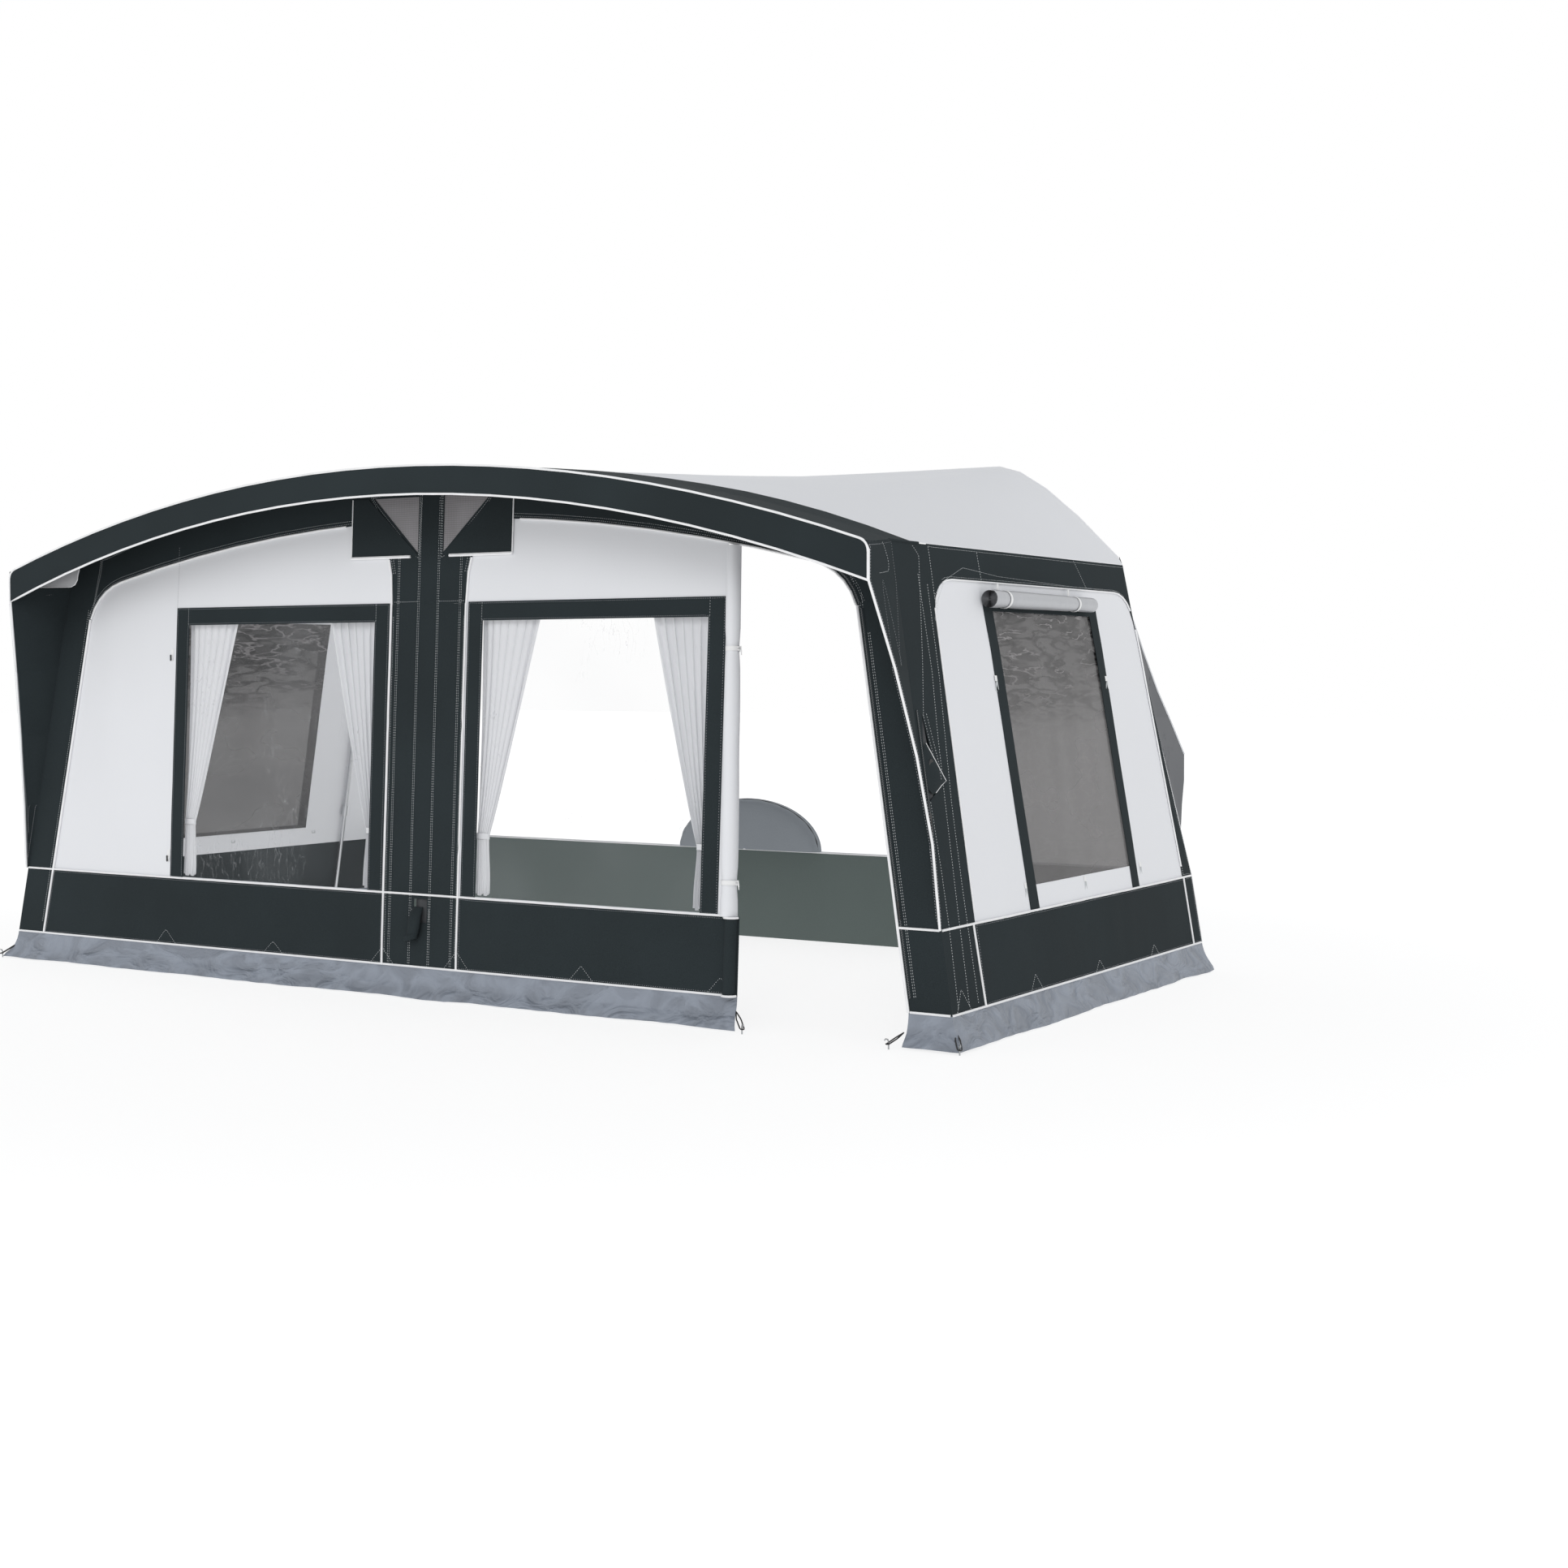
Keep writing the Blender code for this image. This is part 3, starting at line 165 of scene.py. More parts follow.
class TrimSettings(bpy.types.PropertyGroup):
    """Sizes of piping, thread, zips and fittings."""
    piping: length("Piping radius", "Radius of the white welt", 0.0052, 0.001)
    thread: length("Thread radius", "Radius of the sewing thread", 0.0014, 0.0003)
    stitch: length("Stitch", "Length of a stitch", 0.008, 0.002)
    pitch: length("Stitch pitch", "From one stitch to the next", 0.0115, 0.003)
    margin: length("Seam margin", "From a cloth's edge to its seam", 0.012, 0.002)
    tooth: length("Zip pitch", "From one tooth of a zip to the next", 0.005, 0.002)
    pleats: IntProperty(name="Pleats", description="Pleats in one curtain", default=7, min=2)


class StageSettings(bpy.types.PropertyGroup):
    """Camera and light."""
    eye: FloatVectorProperty(name="Eye", description="The camera's place", subtype="XYZ",
                             unit="LENGTH", default=(6.5756, -8.8201, 1.4912))
    yaw: FloatProperty(name="Yaw", description="Turn to the left", subtype="ANGLE", default=radians(31.391))
    pitch: FloatProperty(name="Pitch", description="Tilt upwards", subtype="ANGLE", default=radians(-2.937))
    lens: amount("Lens", "Focal length in millimetres", 49.51, 1)
    sky: amount("Sky", "Strength of the even light from above", 0.56)
    horizon: amount("Horizon", "Strength of the even light from the sides", 0.98)
    glow: amount("Glow", "Strength of the floor's own light", 1.12)
    sun: amount("Sun", "Strength of the soft key light", 0.55)
    floor: colour("Floor", "Colour of the floor", (0.86, 0.86, 0.86))


class Wire:
    """A shader socket that sums and products are written on."""

    def __init__(self, shader, socket):
        self.shader, self.socket = shader, socket

    def maths(self, operation, *values):
        """The result of an operation on wires and plain values."""
        return self.shader.node("ShaderNodeMath", {"operation": operation}, dict(enumerate(values)))

    def __add__(self, other):
        return self.maths("ADD", self, other)

    def __sub__(self, other):
        return self.maths("SUBTRACT", self, other)

    def __rsub__(self, other):
        return self.maths("SUBTRACT", other, self)

    def __mul__(self, other):
        return self.maths("MULTIPLY", self, other)

    def __abs__(self):
        return self.maths("ABSOLUTE", self)

    __radd__, __rmul__ = __add__, __mul__


class Shader:
    """The node tree of a material or a world, under construction."""

    def __init__(self, owner, output):
        owner.use_nodes = True
        self.tree = owner.node_tree
        self.tree.nodes.clear()
        self.output = self.tree.nodes.new(output)

    def feed(self, socket, value):
        """Gives a socket a link, a colour or a plain value."""
        if isinstance(value, Wire):
            self.tree.links.new(value.socket, socket)
        elif hasattr(value, "__len__") and len(value) == 3 and socket.type == "RGBA":
            socket.default_value = (*value, 1)
        else:
            socket.default_value = value

    def node(self, kind, settings=None, inputs=None, output=0):
        """A node of any type: its settings first, then its sockets' values or links."""
        node = self.tree.nodes.new(kind)
        for name, value in (settings or {}).items():
            setattr(node, name, value)
        for name, value in (inputs or {}).items():
            self.feed(node.inputs[name], value)
        return Wire(self, node.outputs[output])


class Finish(Shader):
    """A material under construction, with its surface shader."""

    def __init__(self, name, roughness=0.5, metallic=0.0, **fixed):
        self.material = bpy.data.materials.new(name)
        super().__init__(self.material, "ShaderNodeOutputMaterial")
        self.surface = self.tree.nodes.new("ShaderNodeBsdfPrincipled")
        self.tree.links.new(self.surface.outputs[0], self.output.inputs[0])
        self.set(Roughness=roughness, Metallic=metallic, **fixed)

    def set(self, **values):
        """Sets the surface's sockets; an underscore stands for a space."""
        for name, value in values.items():
            self.feed(self.surface.inputs[name.replace("_", " ")], value)
        return self

    def place(self, stretch=(1, 1, 1), shift=0.0):
        """The object's own coordinates in metres, stretched and shifted."""
        return self.node("ShaderNodeVectorMath", {"operation": "MULTIPLY_ADD"},
                         {0: self.node("ShaderNodeTexCoord", output=3), 1: stretch, 2: (shift, shift, shift)})

    def height(self):
        """How high a point lies."""
        return self.node("ShaderNodeSeparateXYZ", None, {0: self.place()}, output=2)

    def cloud(self, scale, detail=2.0, stretch=(1, 1, 1), swirl=0.0, shift=0.0):
        """Soft noise from 0 to 1, with so many waves in a metre; swirl makes its bands crooked."""
        return self.node("ShaderNodeTexNoise", None, {"Vector": self.place(stretch, shift), "Scale": scale,
                                                      "Detail": detail, "Distortion": swirl})

    def creases(self, scale, stretch, width, shift=0.0):
        """Thin lines, 1 where a stretched noise crosses its middle."""
        return self.ramp(abs(self.cloud(scale, 3, stretch, 0.25, shift) - 0.5), width, 0.0)

    def ramp(self, value, low, high):
        """A value spread from 0 at low to 1 at high."""
        return self.node("ShaderNodeMapRange", {"interpolation_type": "SMOOTHSTEP"},
                         {0: value, 1: low, 2: high, 3: 0.0, 4: 1.0})

    def tint(self, share, first, second):
        """A colour between two."""
        return self.node("ShaderNodeMix", {"data_type": "RGBA"}, {0: share, 6: first, 7: second}, output=2)

    def mottle(self, share, tone, darker, lighter):
        """A colour that wanders between two shares of itself."""
        return self.tint(share, shade(tone, darker), shade(tone, lighter))

    def weave(self, threads):
        """The raised threads of a plain weave, with so many threads in a metre."""
        lines = [self.node("ShaderNodeTexWave", {"bands_direction": way, "wave_profile": "SIN"},
                           {"Vector": self.place(stretch), "Scale": threads / 20, "Distortion": 0.4})
                 for way, stretch in (("X", (1, 1, 0)), ("Z", (0, 0, 1)))]
        return lines[0] * lines[1]

    def bump(self, height, distance, strength=1.0, under=None):
        """Raises the surface by a height, on top of another bump."""
        inputs = {"Height": height, "Distance": distance, "Strength": strength}
        if under:
            inputs["Normal"] = under
        return self.node("ShaderNodeBump", None, inputs)


def shade(tone, share):
    """A colour made darker or lighter by a share."""
    return tuple(min(1.0, channel * share) for channel in tone)


def woven(name, tone, roughness, mottle_share=0.16, wave_depth=0.0004, sheen=0.0, gloss=0.3):
    """Coated woven cloth: threads, a little mottle, faint handling marks and shallow waves."""
    finish = Finish(name, Sheen_Weight=sheen, Specular_IOR_Level=gloss)
    patch, speck, thread = finish.cloud(1.7, 3), finish.cloud(310, 1), finish.weave(900)
    waves = finish.bump(finish.cloud(5.5, 2, (1, 1, 0.45)), wave_depth * 10, 0.55)
    mix = finish.ramp(patch * 0.55 + speck * 0.45, 0.33, 0.67)
    return finish.set(Base_Color=finish.mottle(mix, tone, 1 - mottle_share, 1 + mottle_share),
                      Roughness=finish.ramp(patch, 0.2, 0.8) * 0.12 + (roughness - 0.06),
                      Normal=finish.bump(thread * 0.5 + speck * 0.5, wave_depth, 0.35, waves)).material


def clear_film(name, tone, alpha, roughness=0.08):
    """Clear window film with fine scratches and a faint haze."""
    finish = Finish(name, Base_Color=tone, IOR=1.45, Specular_IOR_Level=0.2)
    where = finish.ramp(finish.cloud(2.6, 3), 0.52, 0.66)
    scratch = finish.creases(15.0, (1.6, 1, 0.5), 0.006) * where
    haze = finish.ramp(finish.cloud(1.6, 2), 0.4, 0.7)
    return finish.set(Alpha=(scratch * 0.30 + alpha) + haze * 0.02, Roughness=scratch * 0.3 + roughness,
                      Normal=finish.bump(finish.cloud(2.2, 2), 0.012, 0.6)).material


def tinted_film(name, tone, alpha, roughness=0.22):
    """Tinted window film, its creases close together near its top; painted shade darkens its folds and its
    upper part, and painted highlights run along its creases.
    """
    finish = Finish(name, IOR=1.45)
    tall = FILM_HIGH - FILM_LOW
    upper = finish.ramp(finish.height(), FILM_LOW + tall * 0.50, FILM_LOW + tall * 0.92)
    patch = finish.ramp(finish.cloud(4.0, 2, (1, 0.6, 1.3)), 0.34, 0.62)
    fold = finish.ramp(finish.cloud(5.2, 3, (1, 0.42, 2.6), 0.8), 0.46, 0.56)
    # dark: painted shade in the broad folds and creases near the film's top
    dark = (fold * 0.50 + finish.creases(7.5, (1, 0.48, 2.3), 0.075) * patch * 0.85) * upper
    # light: painted highlights beside the creases near the film's top
    light = finish.creases(8.5, (1.1, 0.50, 2.5), 0.040, 4.0) * fold * upper
    # fine: painted highlights along fine creases all over the film
    fine = finish.creases(17.0, (1, 0.55, 1.3), 0.050, 9.0)
    broad = finish.ramp(finish.cloud(3.0, 2, (1, 0.6, 1.2)), 0.3, 0.7)
    mixed = finish.mottle(broad, tone, 0.86, 1.16)
    # tints in turn: painted highlights on fine creases, painted shade towards the top, painted shade in the
    # folds, painted highlights beside the creases
    for share, way in ((fine * 0.16, 2.2), (upper * 0.70, 0.55), (dark, 0.03), (light * 0.60, 3.6)):
        mixed = finish.tint(share, mixed, shade(tone, way))
    bumped = finish.bump(finish.cloud(5.0, 2, (1, 0.45, 1.5)) * upper + light * 0.3, 0.006, 0.5)
    # the painted shade in the folds and towards the top also makes the film less clear
    return finish.set(Base_Color=mixed, Alpha=dark * 0.42 + upper * 0.06 + alpha,
                      Roughness=broad * 0.08 + roughness, Normal=bumped).material


def coated(name, tone, roughness=0.45):
    """Soft coated cloth of the mud flaps, with creases that carry painted shade and highlights, and splashes
    near the ground.
    """
    finish = Finish(name)
    crease = finish.cloud(5.0, 3, (1, 1, 1.9), 1.2)
    soil = finish.ramp(finish.cloud(16.0, 3), 0.45, 0.75)
    low = finish.ramp(finish.height(), HEM * 0.7, 0.0)
    # lighter on the raised folds and darker in their hollows: painted highlights and painted shade that
    # follow the crease bump
    folded = finish.mottle(finish.ramp(crease, 0.35, 0.65), tone, 0.86, 1.16)
    bumped = finish.bump(crease, 0.050, 0.8, finish.bump(finish.cloud(420, 1), 0.0003, 0.3))
    return finish.set(Base_Color=finish.tint(soil * low * 0.45 + soil * 0.08, folded, shade(tone, 0.66)),
                      Roughness=crease * 0.25 + (roughness - 0.12), Normal=bumped).material


def moulded(name, tone, roughness, metallic=0.0, grain=260.0, depth=0.0002):
    """Moulded plastic, rubber or metal with a fine grain and handled patches."""
    finish = Finish(name, metallic=metallic)
    patch = finish.cloud(23.0, 3)
    return finish.set(Base_Color=finish.mottle(patch, tone, 0.90, 1.08),
                      Roughness=patch * 0.2 + (roughness - 0.1),
                      Normal=finish.bump(finish.cloud(grain, 2), depth, 0.5)).material


def netting(name, tone):
    """Fine open netting: threads with holes between them."""
    finish = Finish(name, roughness=0.8)
    thread = finish.weave(640)
    return finish.set(Base_Color=finish.mottle(finish.cloud(6.0, 3), tone, 0.85, 1.15),
                      Alpha=finish.ramp(thread, 0.02, 0.2) * 0.25 + 0.72,
                      Normal=finish.bump(thread, 0.0006, 0.5)).material


def make_finishes():
    """All materials by name."""
    tones = bpy.context.scene.awning_cloth
    return {
        "anthracite": woven("anthracite_cloth", tones.anthracite, 0.86, gloss=0.12),
        "light": woven("light_grey_cloth", tones.light, 0.62, 0.012, 0.0003),
        "flap": coated("mud_flap_pvc", tones.flap),
        "skirt": woven("skirt_cloth", tones.skirt, 0.7, 0.05),
        "cover": woven("wheel_arch_cloth", tones.cover, 0.55, 0.05),
        "voile": woven("curtain_voile", tones.voile, 0.8, 0.02, 0.0003, sheen=0.1),
        "clear": clear_film("window_film", (0.58, 0.60, 0.62), 0.022),
        "tinted": tinted_film("tinted_film", (0.088, 0.083, 0.085), 0.74),
        "foil": moulded("blind_foil", (0.44, 0.45, 0.47), 0.36, 0.35, 14.0, 0.004),
        "net": netting("vent_mesh", (0.27, 0.26, 0.27)),
        "draught": clear_film("draught_film", (0.085, 0.090, 0.100), 0.92),
        "beam": woven("beam_sleeve", (0.045, 0.048, 0.052), 0.6, 0.1),
        "welt": moulded("white_welt", (0.86, 0.86, 0.87), 0.45),
        "thread": moulded("light_thread", (0.56, 0.58, 0.59), 0.7),
        "dark_thread": moulded("grey_thread", (0.30, 0.31, 0.33), 0.7),
        "white": moulded("white_plastic", (0.80, 0.80, 0.80), 0.4),
        "zip": moulded("zip_teeth", (0.13, 0.135, 0.14), 0.4),
        "black": moulded("black_plastic", (0.02, 0.02, 0.02), 0.45),
        "rubber": moulded("black_rubber", (0.016, 0.016, 0.017), 0.65),
        "alloy": moulded("pole_alloy", (0.62, 0.63, 0.65), 0.32, 1.0),
        "steel": moulded("galvanised_steel", (0.42, 0.43, 0.44), 0.38, 1.0, 90.0, 0.0005),
    }


FINISH = {}                # make_finishes fills this
SLOT = {"anthracite": "anthracite_cloth", "light": "light_grey_cloth", "flap": "mud_flap_pvc",
        "skirt": "skirt_cloth", "cover": "wheel_arch_cloth", "voile": "curtain_voile", "clear": "window_film",
        "tinted": "tinted_film", "draught": "tinted_film", "foil": "blind_foil", "net": "vent_mesh",
        "beam": "beam_sleeve", "welt": "white_plastic", "white": "white_plastic", "zip": "black_plastic",
        "black": "black_plastic", "rubber": "black_plastic", "alloy": "pole_alloy", "steel": "pole_alloy"}


def show(name, mesh, finish, body="awning", smooth_angle=35):
    """Puts a mesh in the scene with its finish, riding on a body."""
    piece = bpy.data.objects.new(name, mesh)
    bpy.context.scene.collection.objects.link(piece)
    mesh.materials.clear()
    mesh.materials.append(FINISH[finish])
    if smooth_angle:
        mesh.shade_smooth()
        mesh.set_sharp_from_angle(angle=radians(smooth_angle))
    finish in SLOT
    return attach(piece, body)


def cloth(name, mesh, finish, flat, held, rests_on, node=None, body="awning", smooth_angle=60, **more):
    """A piece of cloth put in the scene; it may stand for a node, which it hides."""
    piece = show(name, mesh, finish, body, smooth_angle)
    if node:
        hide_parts(node)
    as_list(rests_on)
    return piece


def fade(value, start, end):
    """0 at start, 1 at end, smooth in between."""
    share = min(1.0, max(0.0, (value - start) / (end - start)))
    return share * share * (3 - 2 * share)


def within(value, low, high, first, last):
    """1 between low and high, reached over a first stretch and left over a last one."""
    return fade(value, low, low + first) * fade(-value, -high, -high + last)


def ripple(across, along, wide, tall, seed):
    """Smooth folds from 0 to 1, so wide and so tall."""
    return 0.5 + 0.5 * noise.noise(Vector((across / wide, along / tall, seed)))


def wall_folds(across, height, broad, fine, lean):
    """Broad upright folds with fine leaning ones over them; each is (wide, tall, seed)."""
    return (ripple(across, height, *broad) * BROAD_SHARE
            + ripple(across + lean * height, height, *fine) * (1 - BROAD_SHARE))


def outward(point):
    """The way out of the side wall nearest to a point."""
    return RIGHT if point.x > 0 else -RIGHT


def front_drape(point):
    """How the front wall's cloth stands out between its seams: tall soft folds."""
    z, far = point.z, ROLL_EDGE if point.x > 0 else JAMB
    share = within(z, HEM, VENT_LOW, SEAM_REACH, 2 * SEAM_REACH)
    share *= within(abs(point.x), COLUMN_EDGE - SEAM_REACH, far, 2 * SEAM_REACH, SEAM_REACH)
    folds = wall_folds(point.x, z, (0.21, 1.30, 3.1), (0.09, 0.42, 7.7), 0.3)
    return FRONT * (bpy.context.scene.awning_cloth.slack * share * folds)


def side_drape(point):
    """The same for a side wall, whose folds run up and down."""
    y, z = point.y, point.z
    share = within(z, HEM, ROLL_LOW, SEAM_REACH, 2 * SEAM_REACH)
    share *= within(y, PANEL_FRONT + SEAM_REACH / 2, REAR_WALL - SEAM_REACH, 2.5 * SEAM_REACH, 3 * SEAM_REACH)
    folds = wall_folds(y, z, (0.24, 1.10, 5.3), (0.10, 0.40, 9.1), -0.25)
    return outward(point) * (bpy.context.scene.awning_cloth.slack * share * folds)


def roof_drape(point):
    """How the roof sinks between its beams and stays up over them."""
    share = min(1.0, max(0.0, (abs(point.x) - BEAM_HALF) / (EAVES_BEAM - BEAM_HALF)))
    along = within(point.y, ROOF_FRONT - SEAM_REACH, REAR_WALL - SEAM_REACH / 2,
                   7 * SEAM_REACH, 4.5 * SEAM_REACH)
    folds = 0.8 + 0.4 * ripple(point.x + point.y, point.y, 0.45, 0.9, 2.2)
    return UP * (-bpy.context.scene.awning_cloth.sag * sin(pi * share) ** 2 * along * folds)


def flap_drape(point):
    """How a mud flap spreads and crumples towards the ground."""
    settings = bpy.context.scene.awning_cloth
    x, y, z = point
    on_front = fade(-y, *FLAP_TURN)
    on_side = fade(abs(x), SIDE_FACE - 0.09, SIDE_FACE - 0.02)
    out = FRONT * (on_front * 0.70) + outward(point) * on_side
    run, past = x - y, OVERLAP - x
    low = fade(-z, -HEM, 0.0)
    folds = ripple(run + z * 0.8, z, 0.30, 0.4, 4.4) * 0.60 + ripple(run - z, z, 0.11, 0.16, 8.8) * 0.32
    ragged = 0.011 * ripple(run, 0.0, 0.42, 1.0, 6.6) + 0.004 * ripple(run, 0.0, 0.08, 1.0, 2.6)
    tuck = 0.016 * exp(-past / 0.07) * fade(-z, -HEM * 0.95, -HEM * 0.6) if on_front and past > 0 else 0.0
    spread = settings.flare * low * low + settings.crumple * low * (folds - 0.3) + tuck
    return out * spread + UP * (ragged * fade(-z, -0.05, 0.0))


def dressed_mesh(node, axes="", cell=None, drape=None, merge_flat=True):
    """A node's shape, sliced finely across the named axes and draped."""
    shape = bmesh.new()
    shape.from_mesh(NODES[node].data)
    bmesh.ops.remove_doubles(shape, verts=shape.verts, dist=MESH_MERGE)
    if merge_flat:
        bmesh.ops.dissolve_limit(shape, angle_limit=radians(0.2), verts=shape.verts, edges=shape.edges)
    for index in map("xyz".index, axes):
        places = [vert.co[index] for vert in shape.verts]
        low, high = min(places), max(places)
        count = ceil((high - low) / cell)
        for i in range(1, count):
            spot, across = Vector(), Vector()
            spot[index], across[index] = low + (high - low) * i / count, 1
            bmesh.ops.bisect_plane(shape, geom=shape.verts[:] + shape.edges[:] + shape.faces[:],
                                   plane_co=spot, plane_no=across, dist=MESH_MERGE)
    if drape:
        for vert in shape.verts:
            vert.co += drape(vert.co)
    mesh = bpy.data.meshes.new(node)
    shape.to_mesh(mesh)
    shape.free()
    for leftover in ("custom_normal", "sharp_edge", "sharp_face"):
        if leftover in mesh.attributes:
            mesh.attributes.remove(mesh.attributes[leftover])
    return mesh


def dress(node, finish, axes, rests_on=(), drape=None, held="stretched", body="awning", merge_flat=True,
          cell=None):
    """A piece of cloth in place of a node; it works out the flat size that its outline was cut to, which goes
    no further.
    """
    mesh = dressed_mesh(node, axes, cell or bpy.context.scene.awning_cloth.cell, drape, merge_flat)
    low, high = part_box(node)
    deep, area = high - low, sum(face.area for face in NODES[node].data.polygons) / 2
    wide = max(deep.x, deep.y)
    tall = hypot(deep.z, min(deep.x, deep.y))
    if area < LEAST_FILL_SHARE * wide * tall:
        run = 2 * (wide + tall)
        flat, more = (area / run, run), {}
    else:
        flat, more = (wide, max(tall, area / wide)), {"area": area}
    return cloth(node + "_cloth", mesh, finish, flat, held, rests_on, node, body, smooth_angle=35, **more)


class AWNING_OT_roof(bpy.types.Operator):
    """Light roof and its dark front band, sagging a little between the beams"""
    bl_idname, bl_label = "awning.roof", "Roof"

    def execute(self, context):
        beams = ["roof_beam_centre", "eaves_beam_left", "eaves_beam_right", "front_arch_beam"]
        dress("roof_panel", "light", "y", beams, roof_drape, merge_flat=False)
        dress("roof_front_band", "anthracite", "y", beams, roof_drape, merge_flat=False)
        return {"FINISHED"}


class AWNING_OT_canopy(bpy.types.Operator):
    """Fascia along the canopy's front and the wings under its ends"""
    bl_idname, bl_label = "awning.canopy", "Canopy"

    def execute(self, context):
        for node, axes in (("canopy_fascia", "x"), ("wing_left", "z"), ("wing_right", "z")):
            dress(node, "anthracite", axes, ["roof_front_band"])
        return {"FINISHED"}


class AWNING_OT_front_wall(bpy.types.Operator):
    """Sleeves, panels and window tapes of the front wall"""
    bl_idname, bl_label = "awning.front_wall", "Front wall"

    def execute(self, context):
        dress("front_arch_sleeve", "anthracite", "x", ["front_arch_beam"], merge_flat=False)
        dress("centre_column_sleeve", "anthracite", "xz", ["centre_leg_beam"], front_drape)
        for side, sign in SIDES:
            panel = "front_panel_" + side
            dress("corner_sleeve_" + side, "anthracite", "z", ["front_arch_beam"])
            dress(panel, "light", "xz", ["front_arch_sleeve"], front_drape)
            for start, finish in (("front_lower_", "anthracite"), ("window_frame_", "anthracite"),
                                  ("window_film_", "clear")):
                dress(start + side, finish, "xz", [panel], front_drape)
        return {"FINISHED"}


class AWNING_OT_side_walls(bpy.types.Operator):
    """Frames, panels, films and lower bands of the side walls"""
    bl_idname, bl_label = "awning.side_walls", "Side walls"

    def execute(self, context):
        for side, sign in SIDES:
            for start, finish in (("side_frame_", "anthracite"), ("side_panel_", "light"),
                                  ("side_lower_", "anthracite"), ("side_window_strips_", "anthracite"),
                                  ("side_window_film_", "tinted")):
                dress(start + side, finish, "yz", ["eaves_beam_" + side], side_drape)
        return {"FINISHED"}


class AWNING_OT_mud_flaps(bpy.types.Operator):
    """Coated hem cloths, crumpled on the ground"""
    bl_idname, bl_label = "awning.mud_flaps", "Mud flaps"

    def execute(self, context):
        cell = context.scene.awning_cloth.flap_cell
        dress("mud_flap_front", "flap", "xz", ["front_lower_left"], flap_drape, cell=cell)
        for side, sign in SIDES:
            dress("mud_flap_side_" + side, "flap", "yxz", ["side_lower_" + side], flap_drape, cell=cell)
        return {"FINISHED"}


class AWNING_OT_vents(bpy.types.Operator):
    """Netted vents under the canopy and the flaps that close them"""
    bl_idname, bl_label = "awning.vents", "Vents"

    def execute(self, context):
        for side, sign in SIDES:
            dress("vent_mesh_" + side, "net", "xz", ["front_arch_sleeve"])
            dress("vent_flap_" + side, "anthracite", "xz", ["front_arch_sleeve"], held="hung",
                  body="vent_flap_" + side)
        return {"FINISHED"}


def new_mesh(name, points, faces):
    """A mesh of points and faces."""
    mesh = bpy.data.meshes.new(name)
    mesh.from_pydata(points, [], faces)
    return mesh


def lattice(rows, closed=False):
    """Faces over rows of points; a closed row joins its end to its start."""
    wide = len(rows[0])
    faces = []
    for r in range(len(rows) - 1):
        for i in range(wide if closed else wide - 1):
            j = (i + 1) % wide
            faces.append((r * wide + i, r * wide + j, (r + 1) * wide + j, (r + 1) * wide + i))
    return new_mesh("lattice", [point for row in rows for point in row], faces)


class AWNING_OT_rear(bpy.types.Operator):
    """Draught skirt, wheel arch cover, keder bead, poles and curtain tracks"""
    bl_idname, bl_label = "awning.rear", "Rear"

    # the wheel cover from its rim to its middle: share of its half width, share of its depth
    dome_shares = ((1.0, 0.0), (0.995, 0.35), (0.975, 0.68), (0.94, 0.88), (0.88, 0.97), (0.72, 1.0),
                   (0.45, 0.99), (0.18, 1.0), (0.02, 1.0))
    steps, gathers = 72, 23

    def execute(self, context):
        dress("draught_skirt", "skirt", "xz", held="hung")
        self.wheel_cover()
        plain = {"keder_bead": "welt", "rear_upright_left": "alloy", "rear_upright_right": "alloy",
                 "rear_foot_left": "alloy", "rear_foot_right": "alloy", "curtain_track_left": "white",
                 "curtain_track_right": "white", "door_zip_slider": "black", "slit_zip_slider": "black",
                 "valve_body": "black", "valve_cap": "rubber"}
        for node, finish in plain.items():
            NODES[node].data.materials.clear()
            NODES[node].data.materials.append(FINISH[finish])
        return {"FINISHED"}

    def wheel_cover(self):
        """Cover over the wheel's arch: a shallow dome with gathers along its rim."""
        low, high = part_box("wheel_arch_cover")
        middle, half = (low.x + high.x) / 2, (high.x - low.x) / 2
        rise, deep = high.z - low.z, high.y - low.y
        rows = []
        for share, forward in self.dome_shares:
            row = []
            for i in range(self.steps + 1):
                turn = pi * i / self.steps
                gather = 0.06 * sin(self.gathers * turn) * (1 - abs(2 * forward - 1)) * (share > 0.9)
                row.append((middle + half * share * cos(turn), high.y - deep * min(1.0, forward + gather),
                            low.z + rise * share * sin(turn)))
            rows.append(row)
        cloth("wheel_arch_cover_cloth", lattice(rows), "cover", flat=(2 * (half + deep), rise + deep),
              held="stretched", rests_on=["draught_skirt"], node="wheel_arch_cover",
              area=pi / 2 * (half + deep) * (rise + deep))


class AWNING_OT_beams(bpy.types.Operator):
    """Inflated beams under the cloth"""
    bl_idname, bl_label = "awning.beams", "Air beams"

    def execute(self, context):
        for node in ("front_arch_beam", "centre_leg_beam", "roof_beam_centre", "eaves_beam_left",
                     "eaves_beam_right"):
            piece = show(node + "_sleeve", dressed_mesh(node, merge_flat=False), "beam")
            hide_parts(node)
        return {"FINISHED"}


